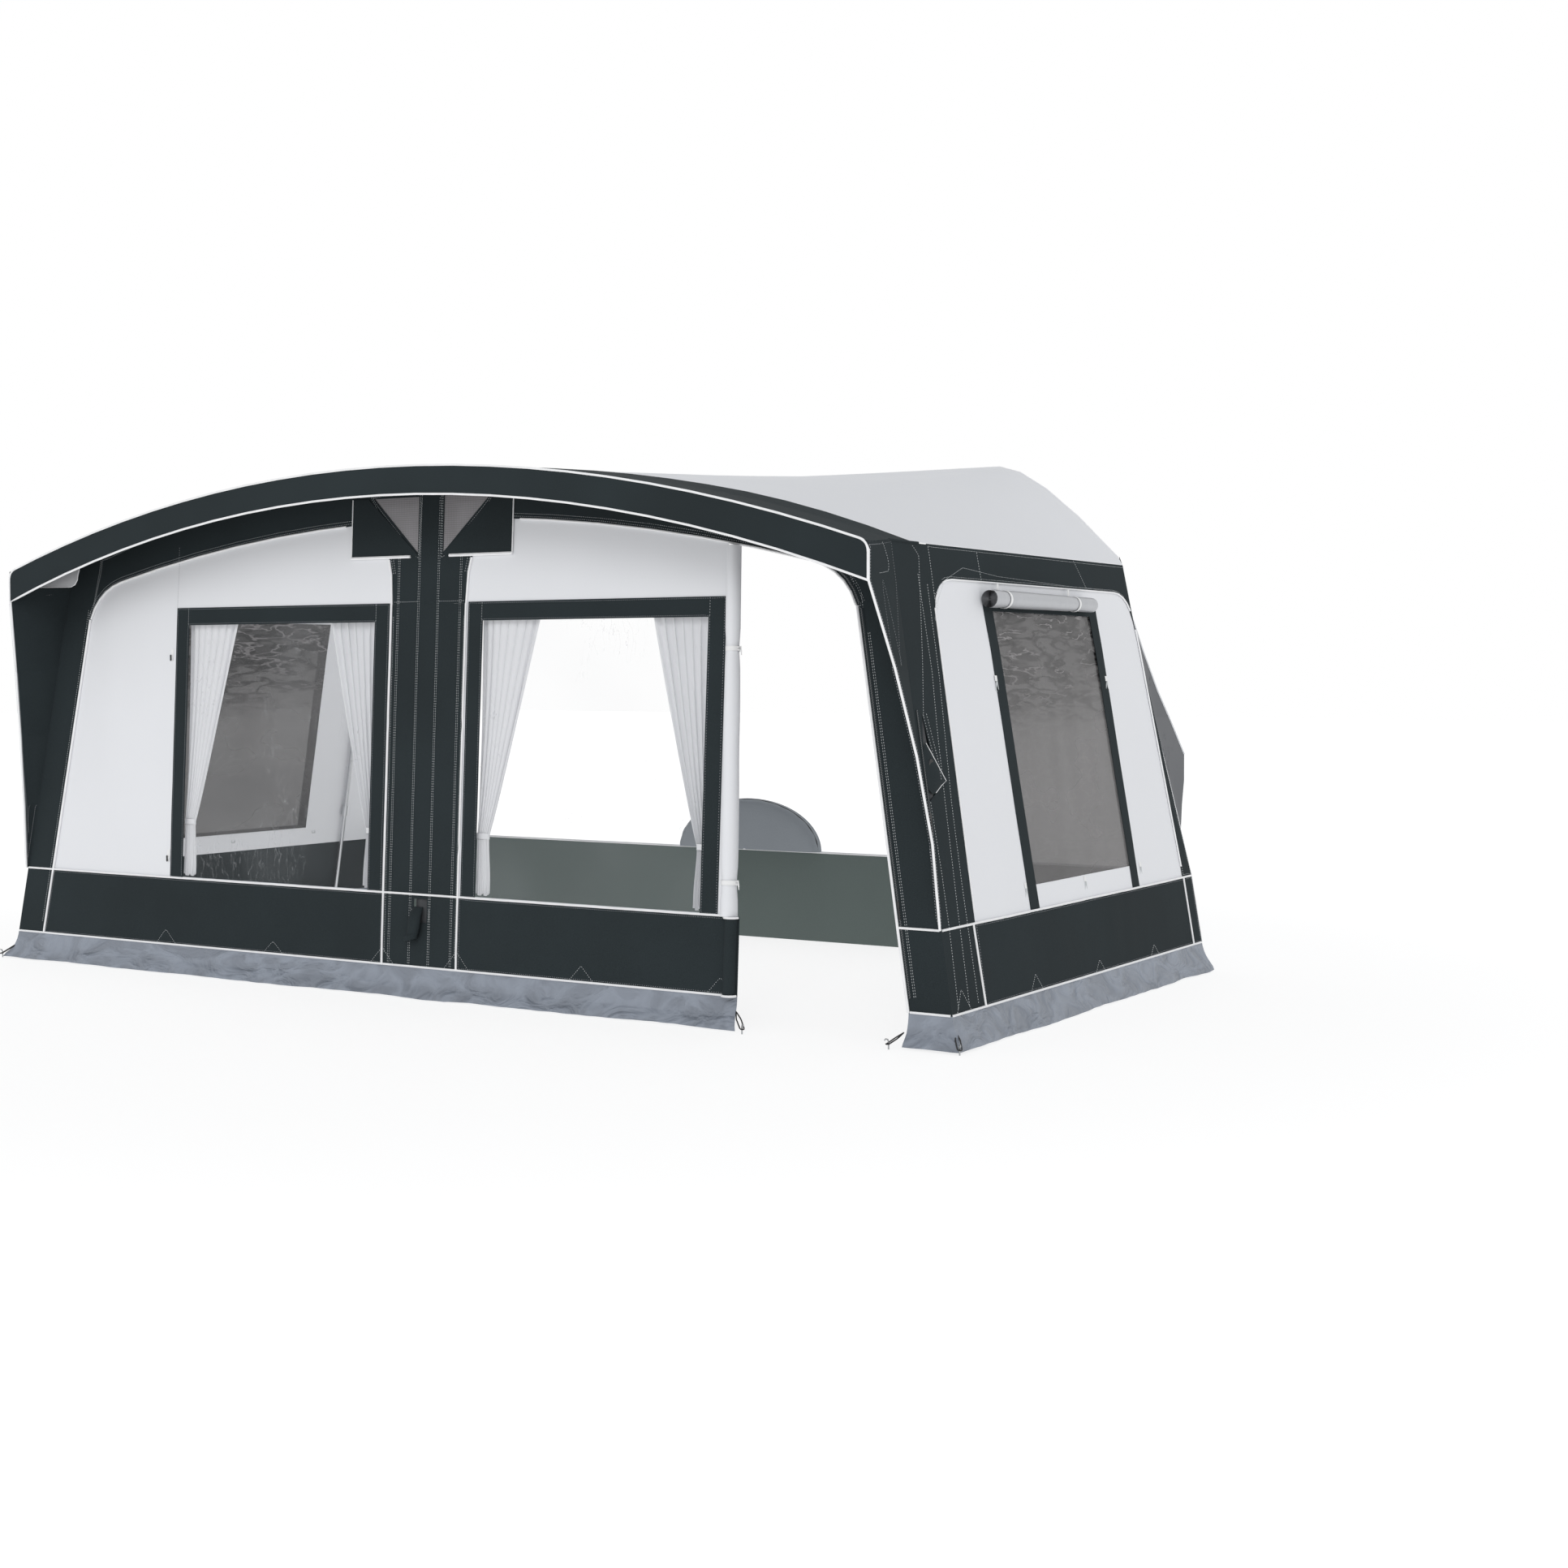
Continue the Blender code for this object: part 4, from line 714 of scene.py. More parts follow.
class Wall:
    """Dressed cloth that trims are laid on from outside; a place is a point or (along, height)."""

    def __init__(self, nodes, out):
        points, faces = [], []
        for node in nodes:
            base, mesh = len(points), bpy.data.objects[node + "_cloth"].data
            points += [vert.co.copy() for vert in mesh.vertices]
            faces += [[base + i for i in face.vertices] for face in mesh.polygons]
        self.tree, self.out = BVHTree.FromPolygons(points, faces), out

    def spot(self, along, height):
        """A place before the cloth, from how far along the wall and how high it lies."""
        return Vector((along, -2, height)) if self.out.y else Vector((3 * self.out.x, along, height))

    def drop(self, places, lift, every):
        """A line's points dropped on the cloth, None where they miss it."""
        for point in even([self.spot(*place) if len(place) == 2 else place for place in places], every):
            hit = self.tree.ray_cast(point + self.out * 2, -self.out)[0]
            yield None if hit is None else hit + self.out * lift

    def lay(self, places, lift=0.0, every=0.03):
        """A line on the cloth; the parts that miss it are left out."""
        return [point for point in self.drop(places, lift, every) if point is not None]

    def lay_whole(self, places, every):
        """The stretches of a line over the cloth; it breaks where it misses."""
        lines = [[]]
        for point in self.drop(places, 0.0, every):
            if point is not None:
                lines[-1].append(point)
            elif lines[-1]:
                lines.append([])
        return [line for line in lines if len(line) > 1]


def front_wall():
    """The whole front wall, to lay trims on."""
    return Wall(FRONT_CLOTH, FRONT)


def side_wall(side, sign):
    """A whole side wall, to lay trims on."""
    return Wall([start + side for start in SIDE_CLOTH], RIGHT * sign)


def run_length(points):
    """The length of a line."""
    return sum((b - a).length for a, b in zip(points, points[1:]))


def even(points, step):
    """A line's points again, so far apart, ends included."""
    points = [Vector(point) for point in points]
    runs = [(b - a).length for a, b in zip(points, points[1:])]
    total = sum(runs)
    count = max(1, round(total / step))
    spaced, i, before = [], 0, 0.0
    for k in range(count + 1):
        at = total * k / count
        while i < len(runs) - 1 and before + runs[i] < at:
            before += runs[i]
            i += 1
        spaced.append(points[i].lerp(points[i + 1], min(1.0, (at - before) / max(runs[i], 1e-9))))
    return spaced


def rims(node, out):
    """Outlines of a piece's outer face: lists of (point, way into the cloth)."""
    shape = bmesh.new()
    shape.from_mesh(bpy.data.objects[node + "_cloth"].data)
    outer = {face for face in shape.faces if face.normal.dot(out) > FACING}
    inward, links = {}, {}
    for edge in shape.edges:
        owners = [face for face in edge.link_faces if face in outer]
        if len(owners) != 1:
            continue
        a, b = edge.verts
        inside = owners[0].normal.cross((b.co - a.co).normalized())
        if inside.dot(owners[0].calc_center_median() - a.co) < 0:
            inside = -inside
        for end, other in ((a, b), (b, a)):
            inward[end] = inward.get(end, Vector()) + inside
            links.setdefault(end, []).append(other)
    loops, used = [], set()
    for start in links:
        if start in used:
            continue
        loop, onward = [], [start]
        while onward:
            loop.append(onward[0])
            used.add(onward[0])
            onward = [vert for vert in links[onward[0]] if vert not in used]
        loops.append([(vert.co.copy(), inward[vert].normalized()) for vert in loop])
    shape.free()
    return loops


def runs_of(loop, keep, inset=0.0):
    """The stretches of an outline that are kept, moved into the cloth."""
    moved = [point + inside * inset for point, inside in loop]
    kept = [keep(point, inside) for point, inside in loop]
    if all(kept):
        return [moved + moved[:1]]
    start = kept.index(False)
    lines, line = [], []
    for k in range(start, start + len(loop) + 1):
        if kept[k % len(loop)]:
            line.append(moved[k % len(loop)])
        elif line:
            lines.append(line)
            line = []
    return [line for line in lines if len(line) > 1]


def everywhere(point, inside):
    """Keeps a whole outline."""
    return True


def seams(node, out, insets=(0.0,), keep=everywhere):
    """Lines at so far from a piece's outline."""
    return [line for loop in rims(node, out) for inset in insets for line in runs_of(loop, keep, inset)]


def sweep(points, radius, sides=8, closed=False):
    """Rings of a tube along points, and whether it is closed; radius is one size or one for each point."""
    size = len(points)
    side = None
    rows = []
    for i, point in enumerate(points):
        before = points[i - 1] if i or closed else point
        after = points[(i + 1) % size] if i < size - 1 or closed else point
        along = (after - before).normalized()
        if side is None:
            side = along.cross(UP if abs(along.z) < 0.9 else RIGHT).normalized()
        else:
            side = (side - along * side.dot(along)).normalized()
        over = side.cross(along)
        wide = radius[i] if hasattr(radius, "__len__") else radius
        rows.append([point + side * (wide * cos(tau * k / sides)) + over * (wide * sin(tau * k / sides))
                     for k in range(sides)])
    return rows, closed


def joined(name, parts, finish, body="awning", smooth_angle=50):
    """One piece of several tubes, each a list of rings; open tubes are capped."""
    points, faces = [], []
    for rows, closed in parts:
        base, sides, size = len(points), len(rows[0]), len(rows)
        points += [point for row in rows for point in row]
        for r in range(size if closed else size - 1):
            for k in range(sides):
                m, n = (k + 1) % sides, (r + 1) % size
                faces.append((base + r * sides + k, base + r * sides + m, base + n * sides + m,
                              base + n * sides + k))
        if not closed:
            faces.append(tuple(base + k for k in reversed(range(sides))))
            faces.append(tuple(base + (size - 1) * sides + k for k in range(sides)))
    return show(name, new_mesh(name, points, faces), finish, body, smooth_angle)


def pipe(name, lines, body="awning", radius=None, finish="welt"):
    """White welt along lines."""
    radius = radius or bpy.context.scene.awning_trim.piping
    return joined(name, [sweep(line, radius, 6) for line in lines if len(line) > 1], finish, body)


def raised(lines, way):
    """Lines moved a short way."""
    return [[point + way for point in line] for line in lines]


def square_to(along, out):
    """The ways across a line and away from the cloth that it lies on."""
    side = along.cross(out).normalized()
    return side, side.cross(along).normalized()


def stitch(name, lines, out, finish="thread"):
    """Sewing along lines: each stitch is a short thread, pointed at both ends."""
    trim = bpy.context.scene.awning_trim
    half, thick = trim.stitch / 2, trim.thread
    points, faces = [], []
    for line in lines:
        if len(line) < 2:
            continue
        spots = even(line, trim.pitch)
        for a, b in zip(spots, spots[1:]):
            middle, along = (a + b) / 2, (b - a).normalized()
            across, over = (way * thick for way in square_to(along, out))
            base = len(points)
            points += [middle - along * half, middle + across, middle + over * 1.4, middle - across,
                       middle - over * 0.4, middle + along * half]
            belt = [(base + 1 + k, base + 1 + (k + 1) % 4) for k in range(4)]
            faces += [(base, here, there) for here, there in belt]
            faces += [(base + 5, there, here) for here, there in belt]
    return show(name, new_mesh(name, points, faces), finish, "awning", 0)


def opening_edge(point, inside):
    """Where the sleeves' cloth ends at a panel or the doorway, and not at another sleeve."""
    over_column = abs(point.x) < COLUMN_EDGE - MESH_MERGE * 100 and point.z < COLUMN_TOP + 0.01
    behind_vents = abs(point.x) < VENT_END and point.z > VENT_LOW
    sideways = inside.dot(outward(point))
    at_end = abs(point.x) > SLEEVE_END and sideways < 0.3
    return (inside.z > -0.35 or sideways > 0.5) and not over_column and not behind_vents and not at_end


def wing_edge(point, inside):
    """The free front edge of a wing, below its seam with the fascia."""
    return inside.y > 0.2 and point.z < WING_TOP


def panel_edge(point, inside):
    """Where the dark cloth of a side wall ends above and behind its light panel."""
    above = inside.z > 0.25 and point.z < SIDE_TOP + 0.05
    return point.z > BAND + 0.02 and (above or inside.y > 0.8 and point.y > 0)


def panel_front_edge(point, inside):
    """Where a corner sleeve ends before the light panel."""
    return inside.y < -0.8 and point.y > PANEL_FRONT - 0.05 and BAND < point.z < SIDE_TOP - 0.08


def jamb_edge(point, inside):
    """A corner sleeve's edge along the doorway or the front panel."""
    return inside.dot(outward(point)) > 0.8 and point.y < JAMB_BACK and point.z < ARCH_LOW


def beside_column(point, inside):
    """The arch sleeve's edge, except where the column's sleeve covers it."""
    return abs(point.x) > COLUMN_EDGE or point.z > COLUMN_TOP + 3 * bpy.context.scene.awning_trim.margin


def upright_edge(point, inside):
    """The sides of a piece, and not its top or foot."""
    return abs(inside.z) < 0.6


def corner_edge(point, inside):
    """A corner sleeve's edges below the top of the side wall."""
    return abs(inside.x) > 0.8 and point.z < SIDE_TOP


def fascia_corner(point):
    """The two upper ends of the fascia."""
    return abs(point.x) > SLEEVE_END and point.z > WING_TOP


def eased(line, reach, keep, steps=6):
    """A line with its sharp corners rounded, where kept."""
    if (line[0] - line[-1]).length < MESH_MERGE:
        half = max(range(len(line) - 1), key=lambda i: (line[i + 1] - line[i]).length)
        line = line[half + 1:-1] + line[:half + 1]
        line = [*line, line[0]]
    soft = list(line)
    for i in range(len(line) - 2, 0, -1):
        corner = line[i]
        if not keep(corner) or (line[i - 1] - corner).angle(line[i + 1] - corner, pi) > radians(130):
            continue
        first = corner + (line[i - 1] - corner).normalized() * reach
        last = corner + (line[i + 1] - corner).normalized() * reach
        low = next((k for k in range(i - 1, -1, -1) if (line[k] - corner).length > reach), 0)
        high = next((k for k in range(i + 1, len(line)) if (line[k] - corner).length > reach), len(line) - 1)
        soft[low + 1:high] = [first * (1 - t) ** 2 + corner * 2 * t * (1 - t) + last * t ** 2
                              for t in (k / steps for k in range(steps + 1))]
    return soft


def extended(line, low, high):
    """An upright line carried on at both ends to these heights."""
    line = sorted(line, key=lambda point: point.z)
    ends = [end + (end - near) * ((at - end.z) / (end.z - near.z))
            for end, near, at in ((line[0], line[1], low), (line[-1], line[-2], high))]
    return [ends[0], *line, ends[1]]


def strap(centre, along, out, radius, width=0.022, thick=0.0016, steps=28):
    """Rings of a flat band round a roll."""
    side, over = square_to(along, out)
    half = along * width / 2
    rows = []
    for k in range(steps):
        way = side * cos(tau * k / steps) + over * sin(tau * k / steps)
        near, far = centre + way * radius, centre + way * (radius + thick)
        rows.append([near - half, near + half, far + half, far - half])
    return rows, True


def ribbon(points, out, width, thick=0.0014):
    """Rings of a flat webbing strip along points, lying flat against out."""
    rows = []
    for i, point in enumerate(points):
        along = (points[min(i + 1, len(points) - 1)] - points[max(i - 1, 0)]).normalized()
        side = along.cross(out).normalized() * (width / 2)
        over = side.cross(along).normalized() * thick
        rows.append([point - side, point + side, point + side + over, point - side + over])
    return rows, False


def coil(start, end, out, radii, held_at, core, turns, slim, rough):
    """Cloth rolled up round a line, from one radius to another, and drawn in where ties hold it."""
    side, over = square_to((end - start).normalized(), out)
    count, steps = ceil((end - start).length / ROLL_CELL), round(turns * 18)
    rows = []
    for i in range(count + 1):
        spot = start.lerp(end, i / count)
        near = min((spot - tie).length for tie in held_at)
        drawn_in = 1 - slim * (1 - fade(near, 0.0, 0.09))
        full = radii[0] + (radii[1] - radii[0]) * i / count
        row = []
        for k in range(steps + 1):
            share = k / steps
            turn = pi + tau * turns * (share - 1)
            way = side * cos(turn) + over * sin(turn)
            wander = rough * noise.noise(spot * 5 + way * 0.9) * share
            row.append(spot + way * ((core + (full - core) * share) * drawn_in * (0.97 + wander)))
        rows.append(row)
    return lattice(rows)


def ends_of(node, axis):
    """Middles and radii of a long round node's two ends."""
    index = "xyz".index(axis)
    places = [vert.co for vert in NODES[node].data.vertices]
    middles, radii = [], []
    for at in (min(place[index] for place in places), max(place[index] for place in places)):
        rim = [place for place in places if abs(place[index] - at) < ROLL_END]
        low, high = (Vector([pick(place[k] for place in rim) for k in range(3)]) for pick in (min, max))
        middles.append((low + high) / 2)
        middles[-1][index] = at
        radii.append((high.x - low.x) / 2)
    return middles, radii


def tied(middles, radii, at, axis):
    """Where a tie goes round a roll, and the roll's radius there."""
    first, last = (middle["xyz".index(axis)] for middle in middles)
    share = (at - first) / (last - first)
    return middles[0].lerp(middles[1], share), radii[0] + (radii[1] - radii[0]) * share


class AWNING_OT_rolls(bpy.types.Operator):
    """Rolled door panel and rolled foil blinds with their white ties"""
    bl_idname, bl_label = "awning.rolls", "Rolls"

    door_ties = (0.615, 1.595)          # heights of the door's ties
    blind_ties = (-0.290, 0.465)        # how far back a blind's ties lie
    door_cut, band_cut, blind_cut = 0.50, 0.32, 1.16    # how much cloth is rolled up
    knot_tails = ((0.006, 0.3), (-0.005, -0.2))         # where a tie's tails start, and how they rise

    def execute(self, context):
        self.door()
        self.band()
        for side, sign in SIDES:
            self.blind(side, RIGHT * sign)
        return {"FINISHED"}

    def door(self):
        """The door panel, rolled up beside the doorway, and its knotted ties."""
        (start, end), radii = ends_of("door_roll", "z")
        along = (end - start).normalized()
        ties = [tied((start, end), radii, height, "z") for height in self.door_ties]
        end += along * ROLL_GATHER
        mesh = coil(start, end, FRONT, radii, [spot for spot, radius in ties], core=0.007, turns=3.8,
                    slim=0.14, rough=0.05)
        cloth("door_roll_cloth", mesh, "light", flat=((end - start).length, self.door_cut), held="gathered",
              rests_on=["front_panel_right", "front_arch_sleeve"], node="door_roll")
        parts = []
        for tie, radius in ties:
            parts.append(strap(tie, along, FRONT, radius * 0.87, 0.020))
            for shift, turn in self.knot_tails:
                knot = tie + along * shift + RIGHT * (radius * 0.86) + FRONT * 0.012
                tail = [knot, knot + (RIGHT + UP * turn) * 0.014, knot + (RIGHT * 0.8 - UP) * 0.022]
                parts.append(sweep(tail, 0.0022, 6))
        joined("door_ties", parts, "white", smooth_angle=30)

    def band(self):
        """The dark band below the door panel, rolled up with it, and the welt across it."""
        line = front_wall().lay([(BAND_ROLL_X, HEM + 0.004), (BAND_ROLL_X, BAND - 0.004)], every=1.0)
        low, top = (spot + FRONT * 0.006 for spot in line)
        mesh = coil(low, top, FRONT, (BAND_ROLL_R, BAND_ROLL_R), [low - UP], core=0.008, turns=2.4, slim=0,
                    rough=0.03)
        cloth("door_band_roll", mesh, "anthracite", flat=((top - low).length, self.band_cut), held="gathered",
              rests_on=["front_lower_right"])
        turns = [radians(28) + pi * 0.80 * k / 14 for k in range(15)]
        pipe("piping_band_roll", [[spot + Vector((-cos(turn), -sin(turn), 0)) * (BAND_ROLL_R + 0.001)
                                   for turn in turns] for spot in (low, top)])

    def blind(self, side, out):
        """A foil blind over a side window, with its straps and the webbing that they hang from."""
        node = "side_blind_" + side
        (start, end), radii = ends_of(node, "y")
        ties = [tied((start, end), radii, y, "y") for y in self.blind_ties]
        mesh = coil(start, end, out, radii, [spot for spot, radius in ties], core=0.006, turns=8.5, slim=0.08,
                    rough=0.02)
        cloth(node + "_cloth", mesh, "foil", flat=((end - start).length, self.blind_cut), held="gathered",
              rests_on=["side_window_strips_" + side], node=node)
        parts = []
        for tie, radius in ties:
            back = tie - out * (radius * 0.80)
            parts.append(strap(tie, -FRONT, out, radius * 0.925, 0.018))
            parts.append(ribbon([back + UP * height for height in (0.020, 0.045, 0.068)], out, 0.018))
        joined("blind_straps_" + side, parts, "white", smooth_angle=30)


class AWNING_OT_curtains(bpy.types.Operator):
    """Gathered voile curtains with their ties"""
    bl_idname, bl_label = "awning.curtains", "Curtains"

    tie_share = 0.21                    # how far up a curtain its tie goes round
    depth = 0.0095                      # half the depth of a pleat
    gathered_share = 0.20               # of its width that a tied curtain keeps
    count, steps = 44, 8                # rows of a curtain, and steps in a pleat
    tie_rings = ((-0.013, 1.04), (-0.007, 1.0), (0.0, 0.98), (0.007, 1.0), (0.013, 1.04))

    def execute(self, context):
        for side, sign in SIDES:
            for where in ("outer", "inner"):
                low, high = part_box("curtain_{}_{}".format(side, where))
                tie_z = low.z + (high.z - low.z) * self.tie_share
                rows = self.pleated(low, high, tie_z, sign if where == "outer" else -sign)
                self.hang(side, where, rows, tie_z, high - low)
        return {"FINISHED"}

    def pleated(self, low, high, tie_z, to_outside):
        """Rows of a curtain: pleats from the track down to its tie, and a loose tail."""
        pleats, count = bpy.context.scene.awning_trim.pleats, self.count
        fixed = high.x if to_outside > 0 else low.x
        wide, tall = high.x - low.x, high.z - low.z
        y_top, y_low = high.y - self.depth - CLOTH_GAP, low.y + self.depth + CLOTH_GAP
        rows = []
        for r in range(count + 1):
            z = high.z - tall * r / count
            share = (high.z - z) / (high.z - tie_z)
            drop = (tie_z - z) / (tie_z - low.z)
            if share < 1:
                spread, loose = self.gathered_share + (1 - self.gathered_share) * (1 - share) ** 0.92, 1.0
            else:
                spread, loose = self.gathered_share + 0.035 * fade(drop, 0.0, 0.8), 0.8 + 0.2 * drop
            y = y_top + (y_low - y_top) * r / count
            row = []
            for k in range(pleats * self.steps + 1):
                u = k / (pleats * self.steps)
                swing = sin(tau * pleats * u + 0.5 * sin(3.1 * z + tau * u))
                crossing = 0.35 * cos(tau * pleats * u) * min(1.0, 4 * u) * min(1.0, 4 * (1 - u))
                x = fixed - to_outside * wide * (spread * u)
                x += crossing * wide * spread / pleats * 0.8
                bow = 0.010 * sin(pi * min(1.0, share)) * (1 - u)
                hem = 0.006 * sin(tau * u * 2.3) * (r == count)
                row.append(Vector((x - to_outside * bow, y + self.depth * loose * swing, z + hem)))
            rows.append(row)
        return rows

    def hang(self, side, where, rows, tie_z, size):
        """A curtain and the tie round it."""
        node = "curtain_{}_{}".format(side, where)
        piece = show(node + "_cloth", lattice(rows), "voile", smooth_angle=80)
        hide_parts(node)
        middle = min(rows, key=lambda row: abs(row[0].z - tie_z))
        centre = sum(middle, Vector()) / len(middle)
        band = [[Vector((centre.x + size.x * 0.112 * grow * cos(tau * k / 24),
                         centre.y + 0.0118 * grow * sin(tau * k / 24), tie_z + height)) for k in range(24)]
                for height, grow in self.tie_rings]
        tie = show("curtain_tie_{}_{}".format(side, where), lattice(band, True), "voile", smooth_angle=60)
        run_length(rows[0])


class AWNING_OT_pump_chute(bpy.types.Operator):
    """Soft chute for the pump's hose, low on the centre column"""
    bl_idname, bl_label = "awning.pump_chute", "Pump chute"

    # its rings from the top down: where each lies from the seam, and its half width
    rings = ((0.0, 0.004, 0.004, 0.026), (0.002, -0.014, -0.012, 0.031), (0.002, -0.030, -0.045, 0.034),
             (0.0, -0.036, -0.085, 0.033), (-0.006, -0.038, -0.120, 0.031), (-0.014, -0.040, -0.148, 0.031))
    lip = ((1.10, 0.000), (1.16, 0.006), (1.14, 0.024))     # how far it grows, and how far up it lies
    steps = 28

    def execute(self, context):
        low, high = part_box("inflation_sleeve")
        middle = (low.x + high.x) / 2
        wall = Wall(["centre_column_sleeve"], FRONT)
        top = wall.lay([(middle, high.z + 0.06), (middle, high.z + 0.10)], every=0.04)[0]
        top.z = high.z - 0.012
        rows = []
        for i, (x, y, z, wide) in enumerate(self.rings):
            point, tilt = top + Vector((x, y, z)), 0.28 * i / (len(self.rings) - 1)
            row = []
            for k in range(self.steps):
                turn = tau * k / self.steps
                crease = 1 + 0.10 * noise.noise(Vector((cos(turn) * 1.4, sin(turn) * 1.4, i * 0.55)))
                across = wide * cos(turn) * crease
                deep = (0.010 + 0.010 * min(1.0, i / 2)) * sin(turn) * crease
                row.append(point + Vector((across, deep, tilt * across)))
            rows.append(row)
        hem = [[point + (spot - point) * grow + UP * rise for spot in rows[-1]] for grow, rise in self.lip]
        cloth("inflation_sleeve_cloth", lattice(rows + hem, True), "anthracite",
              flat=(run_length(rows[2]), 0.20), held="hung", rests_on=["centre_column_sleeve"],
              node="inflation_sleeve", smooth_angle=70)
        return {"FINISHED"}


class AWNING_OT_slit(bpy.types.Operator):
    """Slit over each leg's valve: tunnel round the beam, folded flap and its edging"""
    bl_idname, bl_label = "awning.slit", "Valve slit"

    tunnel_radius = 0.0772
    tunnel_seam = 0.0045                # a tunnel is sewn so far behind its sleeve
    hinge = ((-1.152, 1.215), (-1.190, 1.165), (-1.190, 1.085), (-1.186, 1.030), (-1.150, 1.006))
    free = ((-1.146, 1.212), (-1.098, 1.142), (-1.034, 1.057), (-1.076, 1.040), (-1.126, 1.012))

    def execute(self, context):
        line = Wall(["corner_sleeve_right"], RIGHT).lay([(-1.0, 1.0), (-1.0, 1.3)])
        self.face = line[0]
        self.lean = (line[0].x - line[-1].x) / (line[-1].z - line[0].z)
        self.tunnels()
        self.flap()
        return {"FINISHED"}

    def skin(self, height):
        """Where the sleeve's outer face lies at a height."""
        return self.face.x - (height - self.face.z) * self.lean

    def tunnels(self):
        """Cloth tunnels that hold the legs of the arch behind their sleeves."""
        leg = {}
        for vert in bpy.data.objects["front_arch_beam_sleeve"].data.vertices:
            if vert.co.x > JAMB and vert.co.z < FILM_HIGH:
                leg.setdefault(round(vert.co.z, 1), []).append(vert.co)
        low, high = min(leg), max(leg)
        first, last = (sum(leg[height], Vector()) / len(leg[height]) for height in (low, high))
        steps, count = 20, 30
        for side, sign in SIDES:
            rows = []
            for i in range(count + 1):
                height = low + 0.02 + (FILM_HIGH - low) * i / count
                centre = first.lerp(last, (height - first.z) / (last.z - first.z))
                arc = [centre + Vector((cos(turn), sin(turn), 0)) * self.tunnel_radius
                       for turn in (radians(80 + 163 * k / steps) for k in range(steps + 1))]
                seam = Vector((self.skin(height) - self.tunnel_seam, centre.y + 0.105, height))
                rows.append([Vector((sign * spot.x, spot.y, spot.z)) for spot in (seam, *arc)])
            cloth("leg_tunnel_" + side, lattice(rows), "anthracite", flat=(0.31, FILM_HIGH - low),
                  held="stretched", rests_on=["front_arch_beam"], smooth_angle=70)

    def flap(self):
        """The flap folded back beside the slit, and the edging on its free edge."""
        count = 7
        rows = []
        for r, (fixed, loose) in enumerate(zip(self.hinge, self.free)):
            here, there = (Vector((self.skin(z), y, z)) for y, z in (fixed, loose))
            swell = sin(pi * r / (len(self.hinge) - 1))
            lifts = [0.002 + swell * (0.011 * sin(pi * k / count * 0.8)) for k in range(count + 1)]
            rows.append([here.lerp(there, k / count) + RIGHT * lift for k, lift in enumerate(lifts)])
        cloth("slit_flap", lattice(rows), "anthracite", flat=(0.16, 0.27), held="folded",
              rests_on=["corner_sleeve_right"], smooth_angle=70, area=0.024)
        pipe("slit_edging", [[row[-1] + RIGHT * 0.001 for row in rows]], radius=0.0016)


class AWNING_OT_piping(bpy.types.Operator):
    """White welts along bands, hems, sleeves, canopy and wings"""
    bl_idname, bl_label = "awning.piping", "Piping"

    def execute(self, context):
        radius = context.scene.awning_trim.piping
        lift = radius * 0.4
        front = front_wall()
        lines = [front.lay([(start, height), (end, height)], lift, 0.02)
                 for height in (HEM + lift, BAND) for start, end in ((-2.9, BAND_ROLL), (2.2, 2.9))]
        lines += [front.lay([(x, HEM), (x, COLUMN_TOP)], lift, 0.04) for x in (-COLUMN_EDGE, COLUMN_EDGE)]
        pipe("piping_front", lines)
        pipe("piping_arch", raised(seams("front_arch_sleeve", FRONT, keep=opening_edge), FRONT * lift))
        for side, sign in SIDES:
            out, wall = RIGHT * sign, side_wall(side, sign)
            runs = [((-1.35, height), (REAR_WALL, height)) for height in (HEM + lift, BAND)]
            runs += [((y, HEM), (y, BAND)) for y in (PANEL_FRONT, PANEL_REAR)]
            pipe("piping_side_" + side, [wall.lay(run, lift, 0.02) for run in runs])
            edges = seams("side_frame_" + side, out, keep=panel_edge)
            edges += seams("corner_sleeve_" + side, out, keep=panel_front_edge)
            pipe("piping_panel_" + side, raised(edges, out * lift), radius=radius * 0.75)
            edges = seams("corner_sleeve_" + side, CORNER[sign], keep=jamb_edge)
            edges = [extended(line, HEM, ARCH_LOW + 0.06) for line in edges]
            pipe("piping_jamb_" + side, raised(edges, FRONT * lift), radius=radius * 1.2)
            pipe("piping_wing_" + side, seams("wing_" + side, out, keep=wing_edge))
        pipe("piping_fascia", [eased(line, 0.045, fascia_corner) for line in seams("canopy_fascia", FRONT)])
        return {"FINISHED"}


